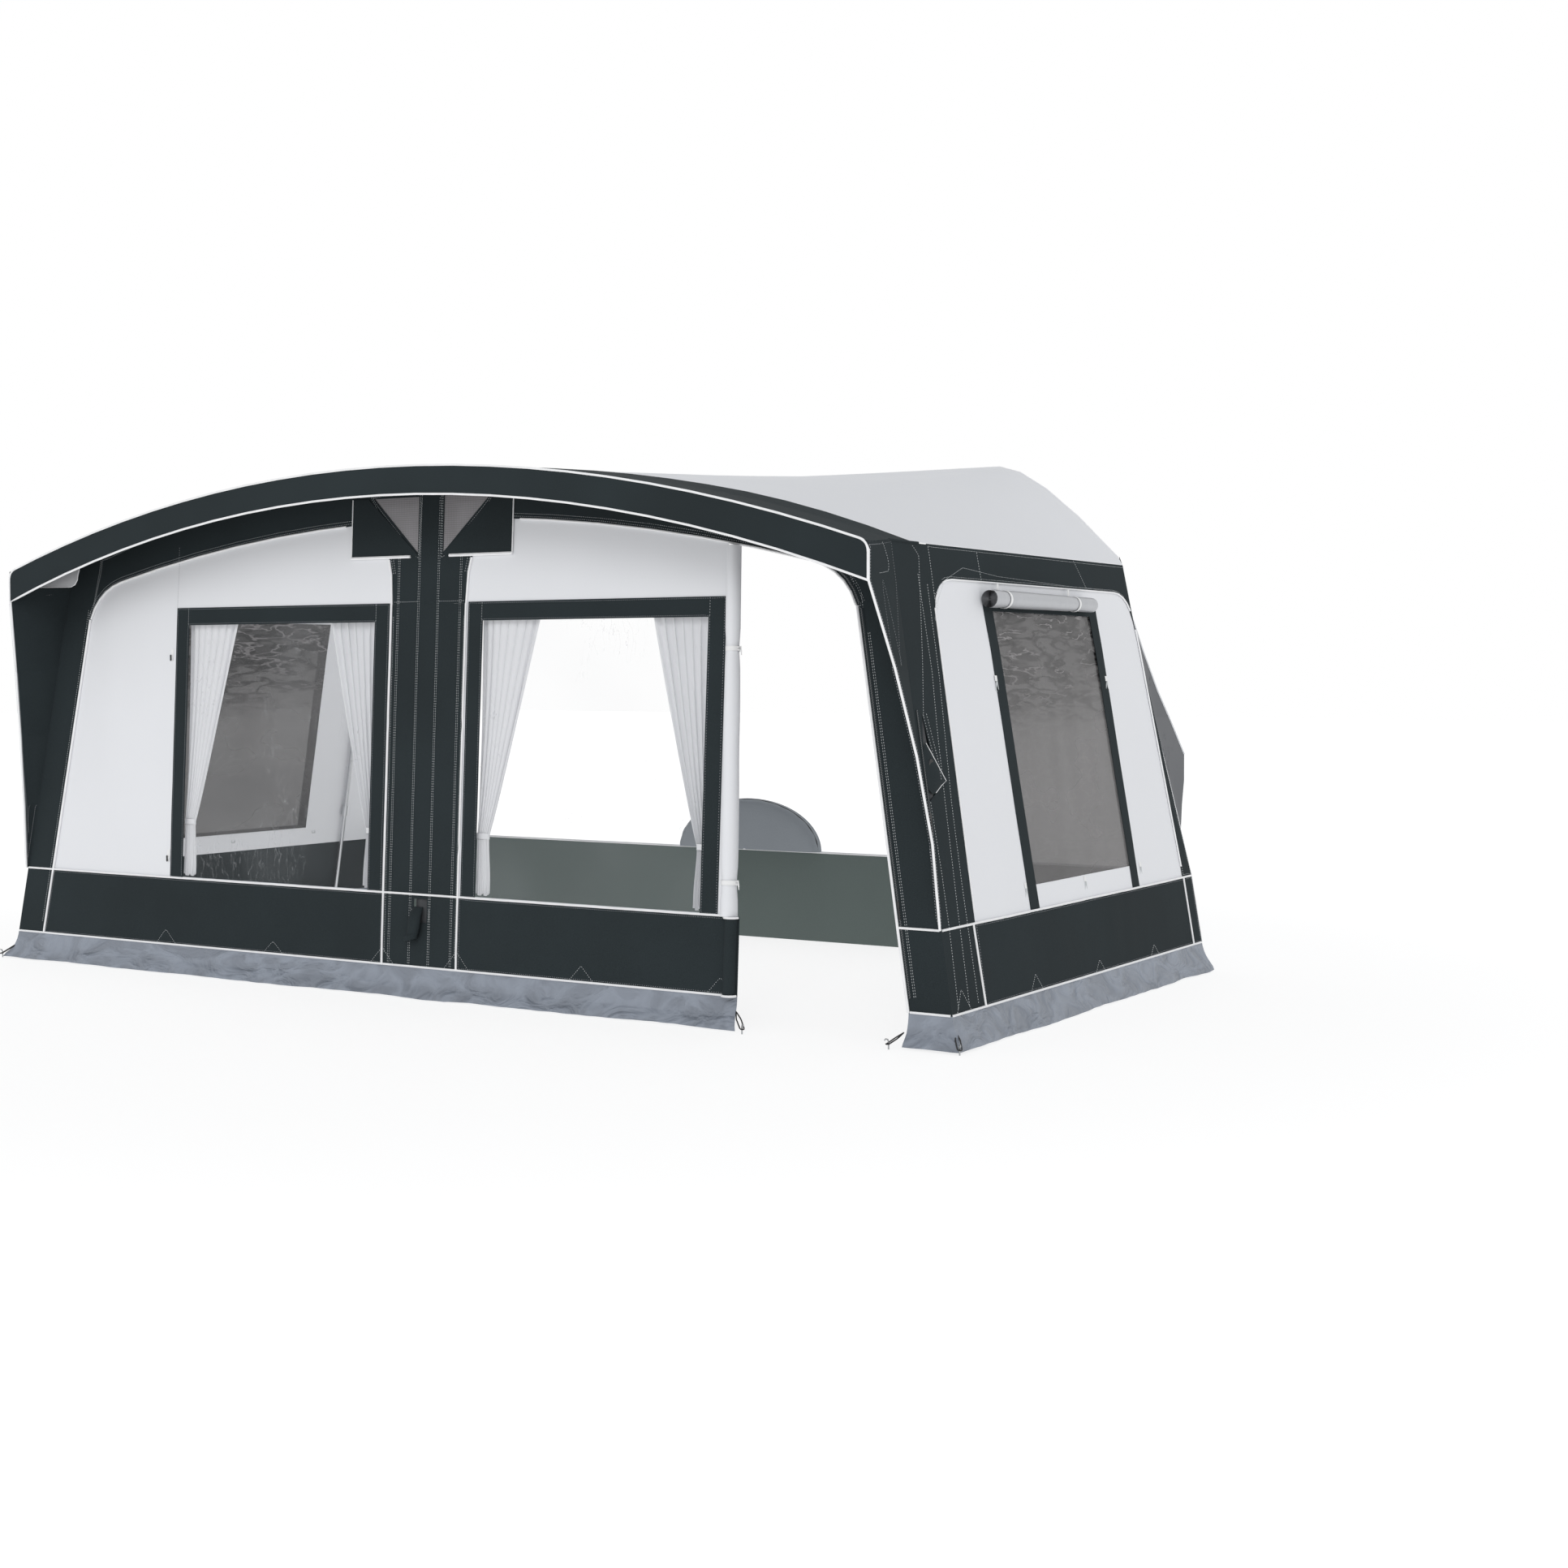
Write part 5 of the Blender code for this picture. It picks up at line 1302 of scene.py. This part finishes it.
class AWNING_OT_stitching(bpy.types.Operator):
    """Light sewing on the dark cloth"""
    bl_idname, bl_label = "awning.stitching", "Stitching"

    # sewing on the column, as shares of its half width
    across = ((-0.95, -0.30), (0.26, 0.95))
    upright = (-0.85, -0.81, -0.30, -0.26, 0.22, 0.26, 0.81, 0.85)
    # sewing on a side wall, as (y, z) from the top down
    posts = (((-1.012, 2.029), (-0.953, 1.974), (-1.062, 1.541), (-1.168, 1.182), (-1.179, 1.015),
              (-1.177, 0.700), (-1.185, 0.478), (-1.212, 0.160)),
             ((-0.985, 1.900), (-0.993, 1.499), (-1.027, 1.256), (-1.054, 0.973), (-1.088, 0.552),
              (-1.114, 0.160)),
             ((-0.915, 1.860), (-0.935, 1.484), (-0.999, 0.970), (-1.019, 0.617), (-1.032, 0.160)),
             ((-0.407, 2.015), (-0.403, 1.890)),
             ((0.623, 2.026), (0.736, 1.885)),
             ((-0.854, 1.775), (-0.748, 1.881), (-0.564, 1.940), (-0.230, 1.915), (0.514, 1.898),
              (1.100, 1.890), (1.289, 1.800)))

    def execute(self, context):
        margin = context.scene.awning_trim.margin
        front = front_wall()
        stitch("sewing_arch", seams("front_arch_sleeve", FRONT, (margin, 2 * margin), beside_column), FRONT)
        lines = seams("centre_column_sleeve", FRONT, (margin,), upright_edge)
        lines += [front.lay([(share * COLUMN_EDGE, COLUMN_TOP + margin) for share in pair], every=0.02)
                  for pair in self.across]
        lines += [front.lay([(share * COLUMN_EDGE, HEM), (share * COLUMN_EDGE, 2.30)], every=0.06)
                  for share in self.upright]
        stitch("sewing_column", lines, FRONT)
        for side, sign in SIDES:
            out, corner, wall = RIGHT * sign, CORNER[sign], side_wall(side, sign)
            for name, node, way, insets, keep, finish in (
                    ("corner", "corner_sleeve", corner, (margin * 0.7, 2 * margin), corner_edge, "thread"),
                    ("window", "window_frame", FRONT, (margin * 0.6,), everywhere, "dark_thread"),
                    ("lower", "front_lower", FRONT, (margin,), everywhere, "dark_thread"),
                    ("side", "side_frame", out, (margin,), everywhere, "thread"),
                    ("side_lower", "side_lower", out, (margin,), everywhere, "dark_thread"),
                    ("wing", "wing", corner, (margin,), everywhere, "dark_thread")):
                lines = seams("{}_{}".format(node, side), way, insets, keep)
                stitch("sewing_{}_{}".format(name, side), lines, way, finish)
            lines = [line for path in self.posts for line in wall.lay_whole(path, every=0.02)]
            stitch("sewing_post_" + side, lines, out)
        return {"FINISHED"}


def lower_edge(point, inside):
    """The free lower edge of a vent flap."""
    return inside.z > 0.6


def outer_edge(point, inside):
    """A vent flap's edge towards the corner of the awning."""
    return inside.dot(outward(point)) < -0.6


class AWNING_OT_reinforcements(bpy.types.Operator):
    """Hems of the vent flaps, sewn patches over the hem loops, canopy patches and draught flaps"""
    bl_idname, bl_label = "awning.reinforcements", "Reinforcements"

    # sewn arrows over the hem loops: place along the wall, half width, apex
    front_arrows = ((-1.648, 0.066, 0.216), (-0.916, 0.062, 0.202), (0.929, 0.064, 0.212),
                    (1.655, 0.064, 0.216), (-COLUMN_EDGE, 0.068, 0.220), (COLUMN_EDGE, 0.072, 0.228))
    side_arrows = ((-0.475, 0.058, 0.214), (0.207, 0.050, 0.199), (0.864, 0.050, 0.198),
                   (-1.165, 0.062, 0.235))
    frame_seams = (1.55, 0.316, -0.316, -1.55)
    # the sewn patch between canopy and sleeve, as (y, z)
    canopy_patch = ((-1.379, 2.020), (-1.330, 2.022), (-1.296, 2.005), (-1.268, 1.978), (-1.253, 1.948),
                    (-1.250, 1.920), (-1.258, 1.897), (-1.320, 1.890), (-1.370, 1.885))
    gusset_outline = ((2.440, 1.930), (2.20, 1.927), (2.168, 1.938), (2.150, 1.962), (2.148, 1.985))
    # a draught flap's free edge from the top down: height, how far back, how far out
    draught_edge = ((1.790, 0.000, 0.000), (1.600, 0.045, 0.004), (1.400, 0.073, 0.020),
                    (1.240, 0.083, 0.050), (1.080, 0.088, 0.078), (0.950, 0.076, 0.050),
                    (0.830, 0.048, 0.020), (0.710, 0.008, 0.000))
    eaves_seam = (-1.19, -1.05, -0.94)

    def execute(self, context):
        front = front_wall()
        lines = self.arrows(front, self.front_arrows)
        lines += [front.lay([(x, FRAME_TOP - 0.085), (x, FRAME_TOP)], every=0.02) for x in self.frame_seams]
        stitch("sewing_hem_loops_front", lines, FRONT)
        line = front.lay([(-1.632, FRAME_TOP), (-1.632, 2.12)], every=0.03)
        stitch("sewing_panel_seam", [line], FRONT, "dark_thread")
        for side, sign in SIDES:
            out, flap = RIGHT * sign, "vent_flap_" + side
            stitch("sewing_hem_loops_" + side, self.arrows(side_wall(side, sign), self.side_arrows), out)
            wing = Wall(["wing_" + side, "side_frame_" + side, "corner_sleeve_" + side], out)
            stitch("sewing_canopy_patch_" + side, [wing.lay(self.canopy_patch, every=0.012)], out)
            pipe("hem_" + flap, seams(flap, FRONT, keep=lower_edge), flap, radius=0.0075)
            pipe("edging_" + flap, seams(flap, FRONT, keep=outer_edge), flap, radius=0.003)
            self.gusset(side, sign)
            self.draught_flap(side, sign)
        for side, sign in SIDES:
            line = [Vector((sign * EAVES_HALF, y, EAVES_LOW)) for y in self.eaves_seam]
            pipe("eaves_seam_" + side, [line], radius=0.006, finish="anthracite")
        self.rear_welts()
        return {"FINISHED"}

    def arrows(self, wall, places):
        """Pairs of seams that meet over the hem loops."""
        base = HEM + 0.006
        return [wall.lay([(middle - half, base), (middle, apex), (middle + half, base)], 0.0005, 0.01)
                for middle, half, apex in places]

    def gusset(self, side, sign):
        """Light patch that closes the corner between the canopy's end and the wing."""
        roof = Wall(["roof_front_band"], -UP)
        rows = []
        for x, z in self.gusset_outline:
            under = roof.lay([(sign * x, -1.36, 1.5), (sign * x, -1.355, 1.5)], 0.006, 1.0)
            rise = max(0.004, (under[0].z if under else z) - z)
            rows.append([Vector((sign * x, -1.36 + 0.04 * k / 4, z + rise * k / 4)) for k in range(5)])
        cloth("gusset_" + side, lattice(rows), "light", flat=(0.31, 0.11), held="stretched",
              rests_on=["wing_" + side, "roof_front_band"])
        edge = [row[0] + FRONT * 0.001 for row in rows] + [rows[-1][-1]]
        pipe("gusset_edging_" + side, [edge], radius=0.002)

    def draught_flap(self, side, sign):
        """Thin translucent flap behind a side wall, drawn back from it."""
        wall = Wall(["side_frame_" + side], RIGHT * sign)
        rows = []
        for z, back, out in self.draught_edge:
            spot = wall.lay([(REAR_WALL - 0.012, z), (REAR_WALL - 0.013, z)], -0.004, 1.0)
            if spot:
                rows.append([spot[0] + Vector((sign * out * (k / 6) ** 1.6, (0.012 + back) * k / 6, 0))
                             for k in range(7)])
        piece = show("draught_flap_" + side, lattice(rows), "draught", smooth_angle=60)
        welt = even([row[-1] for row in rows[:5]], 0.02)
        pipe("draught_welt_" + side, [welt], radius=0.0045, finish="light")

    def rear_welts(self):
        """Welts along the skirt's top and round the wheel cover."""
        low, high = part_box("draught_skirt")
        half, top = high.x - 0.004, high.z - 0.003
        line = Wall(["draught_skirt"], FRONT).lay([(-half, 0, top), (half, 0, top)], 0.001, 0.1)
        pipe("piping_skirt", [line], radius=0.006)
        low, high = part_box("wheel_arch_cover")
        middle, wide, rise = (low.x + high.x) / 2, (high.x - low.x) / 2, high.z - low.z
        arc = [Vector((middle + wide * 0.985 * cos(pi * k / 60), low.y - 0.002 + (high.y - low.y) * 0.62,
                       low.z + rise * 0.985 * sin(pi * k / 60))) for k in range(1, 60)]
        pipe("piping_wheel_cover", [arc], radius=0.004, finish="rubber")


def doorway_jamb(point, inside):
    """The right corner sleeve's edge along the doorway."""
    return inside.x > 0.8 and point.y < JAMB_BACK and point.z < ARCH_LOW - 0.01


def doorway_arch(point, inside):
    """The arch sleeve's edge over the doorway."""
    return point.x > 1.72 and opening_edge(point, inside)


def zip_line(name, line, out, width=0.020):
    """Woven zip tape with a row of teeth along its middle."""
    if len(line) < 2:
        return
    tooth = bpy.context.scene.awning_trim.tooth
    joined(name + "_tape", [ribbon(line, out, width, 0.0008)], "anthracite", smooth_angle=30)
    points, faces = [], []
    spots = even(line, tooth)
    for i, (a, b) in enumerate(zip(spots, spots[1:])):
        along = (b - a).normalized()
        across, up = square_to(along, out)
        middle = (a + b) / 2 + across * (0.0012 if i % 2 else -0.0012) + up * 0.0018
        half = (across * 0.0026, along * (tooth * 0.30), up * 0.0009)
        base = len(points)
        points += [middle + half[0] * x + half[1] * y + half[2] * z
                   for x in (-1, 1) for y in (-1, 1) for z in (-1, 1)]
        faces += [tuple(base + k for k in corner) for corner in
                  ((0, 1, 3, 2), (4, 6, 7, 5), (0, 4, 5, 1), (2, 3, 7, 6), (0, 2, 6, 4), (1, 5, 7, 3))]
    show(name, new_mesh(name, points, faces), "zip", smooth_angle=0)


class AWNING_OT_zips(bpy.types.Operator):
    """Zips along the doorway and beside the valve slit"""
    bl_idname, bl_label = "awning.zips", "Zips"

    inset = 0.016                       # a zip's middle from the doorway's edge
    sewn = (0.033, 0.041)               # the seams beside it

    def execute(self, context):
        front = Wall(("front_arch_sleeve", "corner_sleeve_right"), FRONT)
        for i, line in enumerate(seams("corner_sleeve_right", CORNER[1], (self.inset,), doorway_jamb)):
            line = extended(line, min(point.z for point in line), ARCH_LOW + 0.05)
            zip_line("door_zip_{}".format(i), front.lay([line[0], line[-1]], 0.0008, 0.03), FRONT)
        for i, line in enumerate(seams("front_arch_sleeve", FRONT, (self.inset,), doorway_arch)):
            zip_line("arch_zip_{}".format(i), front.lay(line, 0.0008, 0.02), FRONT)
        stitch("sewing_doorway", seams("corner_sleeve_right", CORNER[1], self.sewn, doorway_jamb), CORNER[1])
        stitch("sewing_doorway_arch", seams("front_arch_sleeve", FRONT, self.sewn, doorway_arch), FRONT)
        line = Wall(["corner_sleeve_right"], RIGHT).lay([(-1.205, 0.845), (-1.180, 1.345)], 0.0008, 0.03)
        zip_line("slit_zip", line, RIGHT, 0.016)
        return {"FINISHED"}


def loop_of(place, out, drop, size=0.03, thick=0.0022):
    """Rings of a small triangular loop that hangs from a tab."""
    side = drop.cross(out).normalized()
    corners = [place, place + drop * size + side * size * 0.32, place + drop * size - side * size * 0.32]
    path = []
    for a, b in zip(corners, corners[1:] + corners[:1]):
        path += [a.lerp(b, share) + out * 0.003 for share in (0.12, 0.5, 0.88)]
    return sweep(path, thick, 6, closed=True)


class AWNING_OT_fittings(bpy.types.Operator):
    """Toggles, hooks, hem loops and pegs"""
    bl_idname, bl_label = "awning.fittings", "Fittings"

    toggles = ((-1.659, 1.589), (-1.646, 0.588))
    bar = ((-0.016, 0.001), (-0.012, 0.004), (0.0, 0.0036), (0.012, 0.004), (0.016, 0.001))
    hooks = ((-0.420, 1.462), (0.785, 1.458), (-0.436, 0.576), (0.850, 0.571), (0.191, 0.555))
    # where a peg's loop leaves the hem, with its share of the hem's height, and where the peg stands
    corner_pegs = (((SIDE_FACE + 0.012, -1.262, 0.55), (SIDE_FACE + 0.062, -1.330)),)
    doorway_pegs = (((1.752, -1.300, 0.60), (1.815, -1.352)), ((2.545, -1.300, 0.45), (2.505, -1.352)))
    # a peg from the ground up: its height, how far its hook reaches, its radius
    peg = ((0.0005, 0.0, 0.0032), (0.030, 0.0, 0.0032), (0.040, 0.004, 0.0032), (0.043, 0.012, 0.0032),
           (0.037, 0.019, 0.0026))

    def execute(self, context):
        front = front_wall()
        tabs, loops, bars = [], [], []
        for x, z in self.toggles:
            spots = front.lay([(x, z + 0.022), (x, z - 0.020)], 0.001, 0.02)
            tabs.append(ribbon(spots, FRONT, 0.018))
            loops.append(loop_of(spots[-1] + UP * 0.012, FRONT, -UP, 0.026))
            middle = spots[-1] + FRONT * 0.007 - RIGHT * 0.004
            bars.append(sweep([middle + UP * height for height, wide in self.bar],
                              [wide for height, wide in self.bar], 10))
        joined("toggle_tabs", tabs, "white", smooth_angle=30)
        joined("toggle_loops", loops, "white")
        joined("toggle_bars", bars, "black")
        for side, sign in SIDES:
            out, wall = RIGHT * sign, side_wall(side, sign)
            tabs, loops = [], []
            for y, z in self.hooks:
                spots = wall.lay([(y, z + 0.020), (y, z - 0.004)], 0.001, 0.02)
                tabs.append(ribbon(spots, out, 0.020))
                loops.append(loop_of(spots[-1] + UP * 0.004, out, -UP, 0.048, 0.003))
            joined("hook_tabs_" + side, tabs, "white", smooth_angle=30)
            # grey thread though the real loops are white: painted shade standing in for their shaded outlines
            joined("hook_loops_" + side, loops, "thread")
            self.pegs(side, sign, self.corner_pegs + (self.doorway_pegs if sign > 0 else ()))
        return {"FINISHED"}

    def pegs(self, side, sign, places):
        """Rubber loops from the hem, each held by a hooked steel peg."""
        rubber, steel = [], []
        for (x, y, share), (far_x, far_y) in places:
            top, ground = Vector((sign * x, y, HEM * share)), Vector((sign * far_x, far_y, 0))
            way = Vector((ground.x - top.x, ground.y - top.y, 0)).normalized()
            aside, low = way.cross(UP), ground + UP * 0.022
            bend = top.lerp(low, 0.45)
            path = [top, bend + aside * 0.010, low + aside * 0.009 + way * 0.004, low + way * 0.014,
                    low - aside * 0.009 + way * 0.004, bend - aside * 0.010, top]
            rubber.append(sweep(even(path, 0.010)[:-1], 0.0030, 6, closed=True))
            steel.append(sweep([ground + UP * height + way * reach for height, reach, wide in self.peg],
                               [wide for height, reach, wide in self.peg], 8))
        joined("peg_loops_" + side, rubber, "rubber")
        joined("pegs_" + side, steel, "steel")


class AWNING_OT_stage(bpy.types.Operator):
    """Pale floor, even sky, one soft key light and the camera"""
    bl_idname, bl_label = "awning.stage", "Stage"

    reach = 60.0                        # half the floor's width
    near_end, far_start = 3.6, 9.0      # the floor shades to white between these distances
    sky_low, sky_high = 0.05, 0.90      # the sky's light changes between these heights

    def execute(self, context):
        stage = context.scene.awning_stage
        self.floor(stage)
        self.sky(stage)

        lamp = bpy.data.lights.new("key", "SUN")
        lamp.energy, lamp.angle = stage.sun, radians(24)
        key = bpy.data.objects.new("key", lamp)
        key.rotation_euler = Euler((radians(60), 0, radians(24)))
        context.scene.collection.objects.link(key)

        lens = bpy.data.cameras.new("view")
        lens.lens, lens.sensor_width = stage.lens, 36.0
        lens.clip_end = 4 * self.reach
        camera = bpy.data.objects.new("view", lens)
        camera.location = stage.eye
        camera.rotation_euler = Euler((pi / 2 + stage.pitch, 0, stage.yaw))
        context.scene.collection.objects.link(camera)
        context.scene.camera = camera
        context.scene.view_settings.view_transform = "Standard"
        return {"FINISHED"}

    def floor(self, stage):
        """A pale floor that glows far from the awning, so that it meets the sky without a line."""
        corners = [(x * self.reach, y * self.reach, -0.0005) for x, y in ((-1, -1), (1, -1), (1, 1), (-1, 1))]
        floor = bpy.data.objects.new("floor", new_mesh("floor", corners, [(0, 1, 2, 3)]))
        bpy.context.scene.collection.objects.link(floor)
        finish = Finish("floor", roughness=0.9)
        finish.set(Base_Color=finish.tint(finish.cloud(0.7), shade(stage.floor, 0.99), stage.floor))
        spread = finish.node("ShaderNodeVectorMath", {"operation": "LENGTH"},
                             {0: finish.node("ShaderNodeTexCoord", output=3)}, output=1)
        glow = finish.node("ShaderNodeEmission", None, {"Color": (1, 1, 1), "Strength": stage.glow})
        share = finish.ramp(spread, self.near_end, self.far_start) * 0.28 + 0.72
        both = finish.node("ShaderNodeMixShader", None,
                           {0: share, 1: Wire(finish, finish.surface.outputs[0]), 2: glow})
        finish.feed(finish.output.inputs[0], both)
        floor.data.materials.append(finish.material)

    def sky(self, stage):
        """White for the camera, and for the light a sky that differs from its horizon."""
        world = bpy.data.worlds.new("studio")
        bpy.context.scene.world = world
        shader = Shader(world, "ShaderNodeOutputWorld")
        seen = shader.node("ShaderNodeLightPath", output="Is Camera Ray")
        for ray in ("Is Glossy Ray", "Is Transmission Ray"):
            seen = seen.maths("MAXIMUM", seen, shader.node("ShaderNodeLightPath", output=ray))
        height = shader.node("ShaderNodeSeparateXYZ", None, {0: shader.node("ShaderNodeTexCoord")}, output=2)
        grade = shader.node("ShaderNodeMapRange", None, {0: height, 1: self.sky_low, 2: self.sky_high,
                                                         3: stage.horizon, 4: stage.sky})
        lit = shader.node("ShaderNodeBackground", None, {0: (0.97, 0.985, 1), 1: grade})
        white = shader.node("ShaderNodeBackground", None, {0: (1, 1, 1), 1: 1.0})
        both = shader.node("ShaderNodeMixShader", None, {0: seen, 1: lit, 2: white})
        shader.feed(shader.output.inputs[0], both)


class AWNING_PT_looks(bpy.types.Panel):
    """Lists the awning's pieces in the sidebar"""
    bl_idname, bl_label = "AWNING_PT_looks", "Awning"
    bl_space_type, bl_region_type, bl_category = "VIEW_3D", "UI", "Awning"

    def draw(self, context):
        for group in ("awning_cloth", "awning_trim", "awning_stage"):
            settings = getattr(context.scene, group)
            column = self.layout.column()
            for name in settings.__annotations__:
                column.prop(settings, name)
        for piece in PIECES:
            self.layout.operator(piece.bl_idname)


PIECES = (AWNING_OT_stage, AWNING_OT_roof, AWNING_OT_canopy, AWNING_OT_front_wall, AWNING_OT_side_walls,
          AWNING_OT_mud_flaps, AWNING_OT_vents, AWNING_OT_rear, AWNING_OT_beams, AWNING_OT_rolls,
          AWNING_OT_curtains, AWNING_OT_pump_chute, AWNING_OT_slit, AWNING_OT_piping, AWNING_OT_stitching,
          AWNING_OT_reinforcements, AWNING_OT_zips, AWNING_OT_fittings)
CLASSES = (ClothSettings, TrimSettings, StageSettings, *PIECES, AWNING_PT_looks)


def register():
    for item in CLASSES:
        bpy.utils.register_class(item)
    bpy.types.Scene.awning_cloth = PointerProperty(type=ClothSettings)
    bpy.types.Scene.awning_trim = PointerProperty(type=TrimSettings)
    bpy.types.Scene.awning_stage = PointerProperty(type=StageSettings)


def unregister():
    del bpy.types.Scene.awning_cloth, bpy.types.Scene.awning_trim, bpy.types.Scene.awning_stage
    for item in reversed(CLASSES):
        bpy.utils.unregister_class(item)


def main():
    """Makes every piece in turn."""
    register()
    FINISH.update(make_finishes())
    for piece in PIECES:
        group, name = piece.bl_idname.split(".")
        getattr(getattr(bpy.ops, group), name)()


if __name__ == "__main__":
    main()
